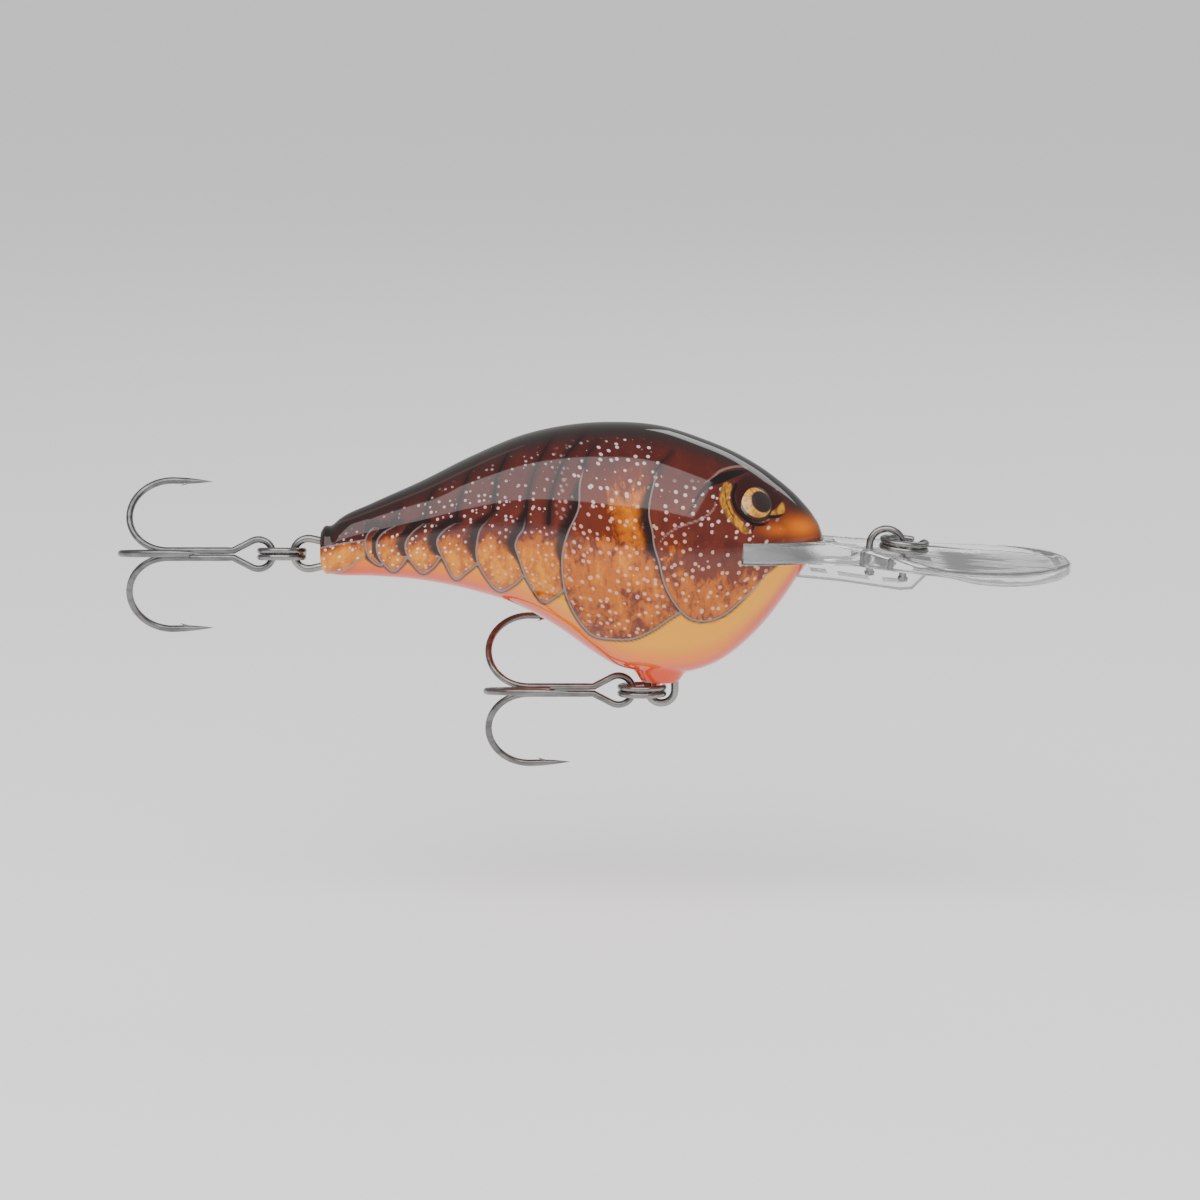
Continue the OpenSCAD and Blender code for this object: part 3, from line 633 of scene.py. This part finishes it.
def shell_paint():
    """Sprayed crawfish pattern under a clear gloss coat, from the masks that paint() stored."""
    m = Nodes("crawfish_paint")
    flat = m.attr("flat", "Vector")
    stretch = m.tree.nodes.new("ShaderNodeMapping")
    stretch.inputs["Scale"].default_value = (1.0, 0.55, 1.0)
    m.link(flat, stretch.inputs["Vector"])
    blotch = m.noise(stretch.outputs[0], 0.55, 4, 0.6, 0.6)
    veins = m.noise(stretch.outputs[0], 1.5, 3, 0.6, 1.2)
    grain = m.noise(flat, 5.0, 3)
    edge, fade, gap = m.attr("edge"), m.attr("fade"), m.attr("gap")
    from_back, from_keel = m.attr("from_back"), m.attr("from_keel")
    # back and upper flank: near black, then maroon, then red-brown towards the plates
    red = m.mix(m.step(from_back, 4.0, 11.0), (0.066, 0.0105, 0.0085), (0.150, 0.026, 0.0145))
    red = m.mix(m.step(blotch, 0.35, 0.7), red, (0.092, 0.0145, 0.0110))
    depth = m.math("ADD", from_back, m.math("MULTIPLY", grain, 0.5))
    back = m.mix(m.step(depth, 1.0, 3.4), (0.016, 0.0105, 0.0095), red)
    # plates: gold mottled with red-brown
    warm = m.math("ADD", m.attr("warm"), m.math("MULTIPLY", m.math("SUBTRACT", blotch, 0.5), 1.6))
    warm = m.math("ADD", warm, m.math("MULTIPLY", m.math("SUBTRACT", veins, 0.5), 0.9))
    gold = m.mix(m.step(warm, 0.2, 0.62), (0.150, 0.0215, 0.0060), (0.50, 0.115, 0.0004))
    gold = m.mix(m.step(warm, 0.6, 1.15), gold, (0.80, 0.265, 0.0004))
    body = m.mix(m.step(m.attr("warm"), 0.0, 0.22), back, gold)
    body = m.mix(m.step(from_back, 3.6, 1.4), body, back)
    # belly: yellow-orange, orange towards the keel, coral at its edge
    glow = m.mix(m.step(from_keel, 3.6, 0.9), (0.90, 0.36, 0.0004), (0.88, 0.17, 0.0004))
    glow = m.mix(m.step(from_keel, 1.5, 0.25), glow, (0.74, 0.056, 0.009))
    chin = m.math("MULTIPLY", m.step(m.attr("along"), 47, 54), m.step(from_keel, 2.6, 0.6))
    glow = m.mix(chin, glow, (0.66, 0.04, 0.007))
    body = m.mix(m.attr("belly"), body, glow)
    body = m.mix(m.math("MULTIPLY", m.attr("nose"), 0.85), body, (0.88, 0.19, 0.0005))
    # hollows and fine seams between the plates
    body = m.mix(m.math("MULTIPLY", gap, 0.93), body, (0.0105, 0.005, 0.0045))
    seam = m.attr("seam")
    body = m.mix(m.math("MULTIPLY", m.step(seam, -0.8, 0.0), 0.6), body, (0.02, 0.006, 0.0055))
    body = m.mix(m.math("MULTIPLY", m.step(seam, -0.06, 0.03), 0.9), body, (0.011, 0.006, 0.006))
    back_line = m.math("MULTIPLY", m.step(m.attr("back_line"), -0.1, 0.05), 0.3)
    body = m.mix(back_line, body, (0.16, 0.07, 0.055))
    # dots, coarse on the two big plates and fine towards the tail
    room, fine = m.attr("room"), m.attr("fine")
    big = dot_layer(m, flat, 0.92, 0.12, 0.5, 0.2, -0.01)
    little = dot_layer(m, flat, 1.25, 0.2, 0.8, 0.22, -0.02)
    big = m.math("MULTIPLY", big, m.math("SUBTRACT", 1.0, fine))
    dot = m.math("ADD", big, m.math("MULTIPLY", little, fine))
    dot = m.math("MULTIPLY", dot, m.math("MULTIPLY", room, m.math("SUBTRACT", 1.0, gap)), clamp=True)
    dot = m.math("MULTIPLY", dot, m.step(seam, 0.0, -0.25))
    # the dots' own colour is salmon pink; the pale pink-white they turn towards the back is a painted
    # highlight
    dot_pink_and_painted_highlight = m.mix(m.step(from_back, 12.5, 8.0), (0.86, 0.44, 0.34), (0.92, 0.78, 0.76))
    body = m.mix(m.math("MULTIPLY", dot, 0.7), body, dot_pink_and_painted_highlight)
    # the light line on each plate's edge
    off_edge = m.math("ABSOLUTE", m.math("SUBTRACT", edge, 0.02))
    light = m.math("MULTIPLY", m.step(off_edge, 0.14, 0.06), fade)
    body = m.mix(m.math("MULTIPLY", light, 0.85), body, (0.27, 0.195, 0.195))
    # head
    body = m.mix(m.step(m.attr("patch"), -0.25, 0.3), body, (0.034, 0.0055, 0.005))
    eye_gold = m.mix(m.step(veins, 0.35, 0.65), (0.19, 0.075, 0.016), (0.62, 0.27, 0.02))
    body = m.mix(m.step(m.attr("gold"), -0.1, 0.12), body, eye_gold)
    body = m.mix(m.math("MULTIPLY", m.step(m.attr("pale"), -0.08, 0.04), 0.7), body, (0.34, 0.195, 0.175))
    body = m.mix(m.step(m.attr("black"), -0.08, 0.06), body, (0.008, 0.0045, 0.0045))
    raised = m.math("MULTIPLY", m.math("SUBTRACT", 1.0, gap), 0.6)
    m.bump(m.math("ADD", m.math("MULTIPLY", light, 0.5), raised), 0.35, 0.00008)
    return m.set(Base_Color=body, Roughness=m.math("MULTIPLY_ADD", grain, 0.12, 0.4),
                 Coat_Weight=1.0, Coat_Roughness=0.055, Coat_IOR=1.5, Specular_IOR_Level=0.0)


# ---------------------------------------------------------------- lip outlines, as the CAD has them

LIP_HALF = [[50.2, 8.1], [54, 6.5], [57, 4.75], [59, 3.75], [61.4, 3.6], [64, 4.3], [67, 6.3],
            [70.2, 8.5], [74, 10.4], [77.5, 11], [81, 10.95], [84, 9.9], [86.6, 7.7], [88.6, 4.6],
            [89.5, 2.2], [89.8, 0.6]]
LIP_TOP = [[50.3, 2.68], [60, 1.98], [62.2, 1.75], [66, 1.2], [70, 0.52], [74, -0.12], [77, -0.32],
           [81, -0.42], [85, -0.45], [88.6, -0.52], [89.4, -0.66], [89.8, -0.95]]
LIP_LOW = [[50, 0.2], [60, -0.58], [64, -0.8], [70, -1], [74, -1.15], [77.7, -1.82], [81.5, -2.1],
           [86, -2.12], [88.8, -2.04], [89.5, -1.9], [89.8, -1.6]]
LIP_START, LIP_END = 50.25, 89.8
LIP_EDGE_R = 0.55
DISH, DISH_RIM, DISH_SLOPE = 0.45, 1.3, 0.9      # depth of the dish, its distance from the rim, its slope
DISH_START, DISH_END = 61.2, 88.4
KEEL = [(56.6, -0.1), (60, -0.4), (64, -0.6), (73, -0.9), (72.4, -2.2), (70.7, -3.9), (69.2, -4),
        (62.2, -2.95), (56.6, -2.4)]
KEEL_HALF = 1.6
KEEL_WINDOWS = [
    [(58.2, -0.9), (60.0, -1.0), (60.6, -1.95), (58.6, -1.75)],
    [(61.3, -1.05), (64.8, -1.2), (65.6, -2.75), (61.9, -2.2)],
    [(66.6, -1.3), (68.9, -1.4), (69.6, -3.15), (67.2, -2.95)],
]


def diving_lip():
    """The clear blade with rounded edges and a shallow dish, and its keel rail with windows."""
    xs = np.concatenate([np.linspace(LIP_START, LENGTH, 24)[:-1], np.linspace(LENGTH, 86, 75)[:-1],
                         np.linspace(86, LIP_END, 26)])
    across = np.concatenate([np.linspace(-1, -0.8, 8)[:-1], np.linspace(-0.8, 0.8, 37),
                             np.linspace(0.8, 1, 8)[1:]])
    rim = 12
    rings = []
    for x in xs:
        w, top, low = curve(LIP_HALF, x), curve(LIP_TOP, x), curve(LIP_LOW, x)
        half = (top - low) / 2
        r = min(LIP_EDGE_R, half * 0.98, w * 0.6)
        flat_w = w - r
        y = across * flat_w
        inset = np.minimum(w - np.abs(y) - DISH_RIM, min(x - DISH_START, DISH_END - x))
        dish = DISH * smooth(inset / DISH_SLOPE)
        up = np.stack([np.full_like(y, x), y, top - dish], 1)
        down = np.stack([np.full_like(y, x), y[::-1], np.full_like(y, low)], 1)
        a = np.radians(np.linspace(90, -90, rim + 2)[1:-1])
        side = np.stack([np.full_like(a, x), flat_w + r * np.cos(a),
                         np.where(a > 0, top - r + r * np.sin(a), low + r + r * np.sin(a))], 1)
        other = side[::-1] * [1, -1, 1]
        rings.append(np.concatenate([up, side, down, other]))
    m = len(rings[0])
    faces = grid_faces(len(xs), m, wrap=True)
    faces += [list(range(m - 1, -1, -1)), list(range((len(xs) - 1) * m, len(xs) * m))]
    blade = make("clear_diving_lip", place(np.concatenate(rings)), faces)
    keel = prism("keel", KEEL, KEEL_HALF)
    for window in KEEL_WINDOWS:
        cut(keel, prism("window", window, 2 * KEEL_HALF))
    cut(blade, keel, "UNION")
    co = coords(blade)
    x = (co[:, 0] - TAIL_X) / MM
    store(blade, "root", smooth((60.2 - x) / 0.8))
    return blade


def clear_plastic():
    """Moulded polycarbonate: clear, faintly uneven, frosted where it sits in the body."""
    m = Nodes("clear_polycarbonate")
    v = m.place()
    wave = m.noise(v, 0.22, 2)
    fine = m.noise(v, 2.4, 3)
    root = m.attr("root")
    frost = m.math("MULTIPLY", fine, m.math("MULTIPLY_ADD", root, 0.5, 0.04))
    m.bump(m.math("ADD", wave, frost), 0.25, 0.00025)
    rough = m.math("MULTIPLY_ADD", root, 0.22, m.math("MULTIPLY_ADD", fine, 0.03, 0.015))
    return m.set(Base_Color=(0.955, 0.965, 0.97), Roughness=rough, IOR=1.585, Transmission_Weight=0.93,
                 Specular_IOR_Level=0.5)


# ---------------------------------------------------------------- wire parts

ROLL = math.radians(10)                # of the trebles and the tail ring about the lure's length
HOOK_EYE_R = 1.75
WIRE = 0.41                            # the hooks' wire, as a radius
SHANK_R = 0.492                        # from the treble's axis to each shank's centre line
BEND_R = 4.934
BEND = np.array([-10.8, SHANK_R + BEND_R])
BEND_START = math.radians(88)          # where the bend meets the straight spear
SPREAD = math.radians(120)             # between the prongs
SHANK_MEETS_EYE = -3.0
RING_R, RING_WIRE = 2.63, 0.37
HANGER_WIRE, TIE_WIRE = 0.47, 0.43


def turned(points, angle):
    """Local points turned about the X axis, y towards z for a negative angle."""
    p = np.asarray(points, float)
    c, s = math.cos(angle), math.sin(angle)
    return np.stack([p[:, 0], c * p[:, 1] - s * p[:, 2], s * p[:, 1] + c * p[:, 2]], 1)


def moved(points, centre, roll):
    return turned(points, -roll) + np.array([centre[0], 0, centre[1]])


def arc(centre, r, start, end, steps):
    """Points of an arc in the XZ plane, angles in degrees."""
    a = np.radians(np.linspace(start, end, steps))
    return np.stack([centre[0] + r * np.cos(a), np.zeros(steps), centre[1] + r * np.sin(a)], 1)


SPEAR_END = BEND + BEND_R * np.array([math.cos(BEND_START), math.sin(BEND_START)])


def spear(s, k=0.0):
    """A point s along the straight part behind the hook's point, and k outwards from it."""
    a = BEND_START - math.pi / 2
    return SPEAR_END + [s * math.cos(a) - k * math.sin(a), s * math.sin(a) + k * math.cos(a)]


def prong(face, shank_end):
    """Centre line and radii of one prong, from its needle point round the bend to its shank."""
    tip = [(4.7, 0.02), (4.45, 0.06), (4.1, 0.115), (3.6, 0.175), (3.1, 0.235), (2.6, 0.29), (2.1, 0.335),
           (1.6, 0.375), (1.1, 0.395), (0.5, 0.405)]
    line = [spear(s) for s, _ in tip]
    radii = [r for _, r in tip]
    for a in np.linspace(BEND_START, 1.5 * math.pi, 44):
        line.append(BEND + BEND_R * np.array([math.cos(a), math.sin(a)]))
        radii.append(WIRE)
    for x in np.linspace(BEND[0], shank_end, 10)[1:]:
        line.append(np.array([x, SHANK_R]))
        radii.append(WIRE)
    line = np.array(line)
    out = line[:, 1]
    return np.stack([line[:, 0], -out * math.cos(face), out * math.sin(face)], 1), np.array(radii)


def barb(name, face, centre, roll):
    """A small blade raised from the spear, its point towards the bend."""
    a, b, c = spear(2.45, -0.1), spear(1.35, -0.1), spear(0.82, -0.76)
    mid = spear(1.75, -0.38)
    pts = [(a, .1), (b, .17), (c, .02), (mid, .11), (spear(1.2, -0.42), .1)]
    verts = [(p[0], s * t, p[1]) for s in (-1, 1) for p, t in pts]
    # the blade is drawn in the XZ plane, then turned about X into the prong's plane
    local = turned(verts, math.pi / 2 - face)
    faces = [[0, 3, 2, 4, 1], [6, 9, 7, 8, 5], [0, 1, 6, 5], [1, 4, 9, 6], [4, 2, 7, 9], [2, 3, 8, 7],
             [3, 0, 5, 8]]
    return make(name, place(moved(local, centre, roll)), faces, shade=False)


def hook(prefix, centre, body):
    """A treble hook: one wire bent into two prongs and the eye, and a third prong brazed on."""
    f, steps = SPREAD, 52
    b, rb = prong(f, SHANK_MEETS_EYE)
    c, rc = prong(-f, SHANK_MEETS_EYE)
    s = b[-1][2]
    reach = math.hypot(SHANK_MEETS_EYE, s)
    # the eye starts where the shank's end touches its circle
    a = math.degrees(math.atan2(s, SHANK_MEETS_EYE) - math.acos(HOOK_EYE_R / reach)) % 360
    v = np.radians(np.linspace(a, -a, steps))
    loop = np.stack([HOOK_EYE_R * np.cos(v), np.full(steps, b[-1][1]), HOOK_EYE_R * np.sin(v)], 1)
    path = np.concatenate([b, loop, c[::-1]])
    radii = np.concatenate([rb, np.full(steps, WIRE), rc[::-1]])
    double = tube(prefix + "_hook_double_wire", moved(path, centre, ROLL), radii, 20)
    double = join([double, barb("b1", f, centre, ROLL), barb("b2", -f, centre, ROLL)])
    d, rd = prong(0, -8.3)
    end = np.array([[-8.22, d[-1][1], d[-1][2]]])
    path = moved(np.concatenate([d, end]), centre, ROLL)
    single = tube(prefix + "_hook_third_prong", path, np.append(rd, 0.33), 20)
    single = join([single, barb("b3", 0, centre, ROLL)])
    for piece, node in ((double, prefix + "_hook_double"), (single, prefix + "_hook_single")):
        sharpen(piece, 40)
        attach(piece, body)
        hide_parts(node)
        piece.data.materials.append(HOOK_STEEL)


def sharpen(obj, angle):
    """Edges sharper than an angle in degrees show as edges; the rest is smooth."""
    obj.data.set_sharp_from_angle(angle=math.radians(angle))


def split_ring(name, node, body, place_points):
    """A ring wound almost twice from one wire, stepping over to the second turn."""
    t = np.linspace(41, 713, 200)
    step_start, step_end = 358, 395
    h = RING_WIRE + 0.015
    crossing = h * np.cos(math.pi * (t - step_start) / (step_end - step_start))
    level = np.where(t < step_start, h, np.where(t > step_end, -h, crossing))
    a = np.radians(t)
    path = np.stack([RING_R * np.cos(a), RING_R * np.sin(a), level], 1)
    radii = np.full(len(t), RING_WIRE)
    radii[[0, -1]] = RING_WIRE * 0.8
    ring = tube(name, place_points(path), radii, 18)
    sharpen(ring, 50)
    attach(ring, body)
    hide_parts(node)
    ring.data.materials.append(RING_STEEL)


def wire_part(name, node, path, radii):
    """A bent wire that is fixed in the body or the lip."""
    piece = tube(name, path, radii, 24)
    sharpen(piece, 50)
    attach(piece, "lure")
    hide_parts(node)
    piece.data.materials.append(NICKEL)


# ---------------------------------------------------------------- eyes

EYE_X, EYE_Z, EYE_R = 51.8, 7.3, 2.2
EYE_BULGE, EYE_SUNK, EYE_DEPTH = 0.45, 0.15, 0.7
PUPIL_X = 0.62                         # the pupil sits towards the nose


def eye(name, node, side):
    """A domed resin disc, square to the flank; it stores its own flat coordinates for the painted iris."""
    y0 = float(flank(EYE_X, EYE_Z))
    lift = math.atan2(float(flank(EYE_X, EYE_Z - 1) - flank(EYE_X, EYE_Z + 1)), 2)
    turn = math.atan2(float(flank(EYE_X - 1, EYE_Z) - flank(EYE_X + 1, EYE_Z)), 2)
    frame_m = Matrix.Rotation(-turn, 3, "Z") @ Matrix.Rotation(-math.pi / 2 + lift, 3, "X")
    ball = (EYE_R ** 2 + EYE_BULGE ** 2) / (2 * EYE_BULGE)
    crown = EYE_BULGE - EYE_SUNK
    profile = [(r, crown - ball + math.sqrt(ball ** 2 - r ** 2)) for r in np.linspace(0.08, EYE_R, 26)]
    profile.append((EYE_R, -EYE_DEPTH))
    sides, rings = 72, len(profile)
    local, faces = [[0, 0, crown]], []
    for r, z in profile:
        for a in np.arange(sides) * 2 * math.pi / sides:
            local.append([r * math.cos(a), r * math.sin(a), z])

    def at(i, j):
        return 1 + (i - 1) * sides + j % sides

    faces += [[0, at(1, j), at(1, j + 1)] for j in range(sides)]
    for i in range(1, rings):
        faces += [[at(i, j), at(i + 1, j), at(i + 1, j + 1), at(i, j + 1)] for j in range(sides)]
    faces.append([at(rings, j) for j in range(sides - 1, -1, -1)])
    local = np.array(local)
    world = local @ np.array(frame_m).T + [EYE_X, y0, EYE_Z]
    if side < 0:
        world[:, 1] *= -1
        faces = [f[::-1] for f in faces]
    obj = make(name, place(world), faces)
    sharpen(obj, 50)
    # local x points to the nose, local y downwards
    store_vector(obj, "disc", local)
    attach(obj, "lure")
    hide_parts(node)
    obj.data.materials.append(EYE_RESIN)


def eye_resin():
    """Painted iris and pupil under clear resin."""
    m = Nodes("domed_eye_resin")
    disc = m.attr("disc", "Vector")
    sep = m.tree.nodes.new("ShaderNodeSeparateXYZ")
    m.link(disc, sep.inputs[0])
    x, y = sep.outputs[0], sep.outputs[1]
    r = m.math("SQRT", m.math("ADD", m.math("MULTIPLY", x, x), m.math("MULTIPLY", y, y)))
    dx = m.math("SUBTRACT", x, PUPIL_X)
    p = m.math("SQRT", m.math("ADD", m.math("MULTIPLY", dx, dx), m.math("MULTIPLY", y, y)))
    ang = m.math("ARCTAN2", y, dx)
    rays = m.tree.nodes.new("ShaderNodeCombineXYZ")
    m.link(m.math("MULTIPLY", ang, 3.0), rays.inputs[0])
    m.link(m.math("MULTIPLY", p, 0.7), rays.inputs[1])
    streak = m.noise(rays.outputs[0], 1.8, 3)
    mottle = m.noise(disc, 1.3, 3)
    iris = m.mix(m.step(streak, 0.3, 0.7), (0.36, 0.14, 0.025), (0.95, 0.45, 0.03))
    iris = m.mix(m.math("MULTIPLY", m.step(mottle, 0.5, 0.75), 0.5), iris, (1.0, 0.62, 0.10))
    iris = m.mix(m.step(p, 1.52, 1.3), iris, (0.10, 0.026, 0.01))
    iris = m.mix(m.step(p, 1.34, 1.26), iris, (0.014, 0.0025, 0.002))
    iris = m.mix(m.step(r, 1.86, 1.96), iris, (0.018, 0.0055, 0.0045))
    return m.set(Base_Color=iris, Roughness=0.3, Coat_Weight=1.0, Coat_Roughness=0.02, Coat_IOR=1.52)


# ---------------------------------------------------------------- build

HOOK_STEEL = metal("black_nickel_hook", (0.235, 0.232, 0.23), 0.24, 0.55, (0.35, 1, 1))
RING_STEEL = metal("polished_ring_steel", (0.30, 0.296, 0.288), 0.17, 0.7, (1, 1, 1))
NICKEL = metal("nickel_wire", (0.31, 0.305, 0.295), 0.18, 0.75, (0.6, 1, 1))
EYE_RESIN = eye_resin()
PAINT = shell_paint()
raw = Nodes("bare_moulding")
raw_v = raw.place()
raw_tone = raw.mix(raw.noise(raw_v, 0.8, 3), (0.42, 0.41, 0.40), (0.66, 0.65, 0.64))
RAW = raw.set(Base_Color=raw_tone, Roughness=0.55)

FIT = 0.05
SLOT_END = 62
slot_x = np.linspace(50.3, SLOT_END, 14)
slot_outline = [(LIP_START, 2.73)] + [(x, float(curve(LIP_TOP, x)) + FIT) for x in slot_x]
slot_outline += [(x, float(curve(LIP_LOW, x)) - FIT) for x in slot_x[::-1]] + [(49.95, 0.15)]
keel_slot = [(56.3, 0), (SLOT_END, 0), (SLOT_END, -4), (56.3, -4)]
for side, word in ((1, "left"), (-1, "right")):
    shell = half_body("painted_shell_" + word, side)
    shell.data.materials.append(PAINT)
    for tool in (prism("slot", slot_outline, 14), prism("keel_slot", keel_slot, KEEL_HALF + FIT)):
        tool.data.materials.append(RAW)
        cut(shell, tool, materials="TRANSFER")
    sharpen(shell, 32)
    paint(shell)
    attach(shell, "lure")
    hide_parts(f"body_{word}_shell")
eye("domed_eye_left", "eye_left", 1)
eye("domed_eye_right", "eye_right", -1)

lip = diving_lip()
sharpen(lip, 30)
lip.data.materials.append(clear_plastic())
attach(lip, "lure")
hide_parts("diving_lip")

# line-tie arch: two legs with upset heads, moulded into the keel rail
TIE = (67.62, 1.17)
rear = [[65.62, 0, z] for z in (-2.35, -2.1, -1.85, -1.75, -1, 0, 0.7)]
front = [[69.62, 0, z] for z in (0.7, 0, -1.6, -2.5, -2.6, -2.85, -3.1)]
path = np.concatenate([rear, arc(TIE, 2.0, 180, 0, 40), front])
head = [0.5, 0.6, 0.6]
radii = np.concatenate([head, np.full(len(path) - 2 * len(head), TIE_WIRE), head[::-1]])
wire_part("line_tie_arch", "line_tie_wire", path, radii)

# tail hanger: a round eye, two strands into the tail, splayed ends
tail_eye, tail_r = (-1.5, 0.16), 1.83
strand_x, strand_z = 5.9, 0.6          # from the eye's centre to where a strand runs level
reach = math.hypot(strand_x, strand_z)
a = math.degrees(math.atan2(strand_z, strand_x) + math.acos(tail_r / reach))
loop = arc(tail_eye, tail_r, a, 360 - a, 56)
up = [[7.4, 0, 1.5], [7.4, 0, 1.1], [7.3, 0, 0.85], [7.05, 0, 0.76], [4.6, 0, 0.76], [4.2, 0, 0.78]]
down = [[x, 0, 2 * tail_eye[1] - z] for x, _, z in up[::-1]]
wire_part("tail_hanger", "tail_hook_hanger", np.concatenate([up, loop, down]), HANGER_WIRE)

# belly hanger: a U below the pad, with feet turned outwards inside the body
belly_eye, belly_r = (40.75, -16.45), 1.62
left = [[37.83, 0, -10.6], [38.6, 0, -10.62], [39.0, 0, -10.75], [39.13, 0, -11.1], [39.13, 0, -13],
        [39.13, 0, -15.8]]
right = [[2 * belly_eye[0] - x, 0, z] for x, _, z in left[::-1]]
path = np.concatenate([left, arc(belly_eye, belly_r, 180, 360, 36), right])
wire_part("belly_hanger", "belly_hook_hanger", path, HANGER_WIRE)


def tie_ring(p):
    """The line-tie ring lies forward over the lip: turned in its plane, then tipped nose down."""
    a, b = math.radians(20), math.radians(6)
    x = p[:, 0] * math.cos(a) - p[:, 1] * math.sin(a) + RING_R
    y = p[:, 0] * math.sin(a) + p[:, 1] * math.cos(a)
    z = p[:, 2]
    return np.stack([x * math.cos(b) + z * math.sin(b), y, -x * math.sin(b) + z * math.cos(b)], 1) + TIE_RING


TIE_RING = np.array([67.15, 0, 1.55])
BELLY_LINE, TAIL_LINE = -16.5, 0.1     # heights of the two trebles' axes
split_ring("line_tie_ring", "line_tie_split_ring", "line_ring", tie_ring)
split_ring("belly_ring_wire", "belly_split_ring", "belly_ring",
           lambda p: moved(p, (38.42, BELLY_LINE), math.radians(5)))
split_ring("tail_ring_wire", "tail_split_ring", "tail_ring", lambda p: moved(p, (-4.73, TAIL_LINE), ROLL))
hook("belly", (35.59, BELLY_LINE), "belly_hook")
hook("tail", (-7.56, TAIL_LINE), "tail_hook")

# inside parts carried over from the CAD
brass = metal("turned_brass", (0.62, 0.43, 0.16), 0.28, 0.8, (1, 4, 1))
steel = metal("rattle_steel", (0.55, 0.55, 0.56), 0.12, 0.85)
for node, mat in (("ballast_slug", brass), ("rattle_balls", steel)):
    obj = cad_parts[node]
    obj.data.materials.clear()
    obj.data.materials.append(mat)

# ---------------------------------------------------------------- floor, light and camera

AIM = (-0.03426, 0, -0.00665)
FLOOR_Z, FLOOR_SIZE, FLOOR_GLOW = -0.045, 60, 0.42
CAMERA_DISTANCE, LENS = 0.48, 120

bpy.ops.mesh.primitive_plane_add(size=FLOOR_SIZE, location=(0, 0, FLOOR_Z))
floor = bpy.context.active_object
floor.name = "floor"
floor_finish = Nodes("floor_finish").set(Base_Color=(0.93, 0.93, 0.93), Roughness=0.9,
                                         Emission_Color=(1, 1, 1), Emission_Strength=FLOOR_GLOW)
floor.data.materials.append(floor_finish)
floor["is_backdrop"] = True


def softbox(name, direction, distance, size, power):
    """A rectangular light aimed at the lure; azimuth 0 is the camera's side, angles in degrees."""
    az, el = map(math.radians, direction)
    way = Vector((math.sin(az) * math.cos(el), -math.cos(az) * math.cos(el), math.sin(el)))
    light = bpy.data.lights.new(name, "AREA")
    light.shape, light.size, light.size_y, light.energy = "RECTANGLE", size[0], size[1], power
    obj = bpy.data.objects.new(name, light)
    obj.location = Vector(AIM) + way * distance
    obj.rotation_euler = way.to_track_quat("Z", "Y").to_euler()
    bpy.context.scene.collection.objects.link(obj)


softbox("front_box", (-14, 50), 0.6, (0.95, 0.56), 4.6)
softbox("rear_strip", (150, 35), 0.8, (0.5, 0.2), 0.8)

world = bpy.data.worlds.new("studio")
world.use_nodes = True
world.node_tree.nodes["Background"].inputs[0].default_value = (1, 1, 1, 1)
world.node_tree.nodes["Background"].inputs[1].default_value = 0.4
bpy.context.scene.world = world

cam_data = bpy.data.cameras.new("camera")
cam_data.lens, cam_data.sensor_width = LENS, 36
cam_data.dof.use_dof = False
cam = bpy.data.objects.new("camera", cam_data)
back = Vector((0, -math.cos(VIEW_TILT), math.sin(VIEW_TILT)))
cam.location = Vector(AIM) + back * CAMERA_DISTANCE
cam.rotation_euler = back.to_track_quat("Z", "Y").to_euler()
bpy.context.scene.collection.objects.link(cam)
bpy.context.scene.camera = cam

seen_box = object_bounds()
{"cad": [list(c) for c in cad_box], "visual": [list(c) for c in seen_box]}
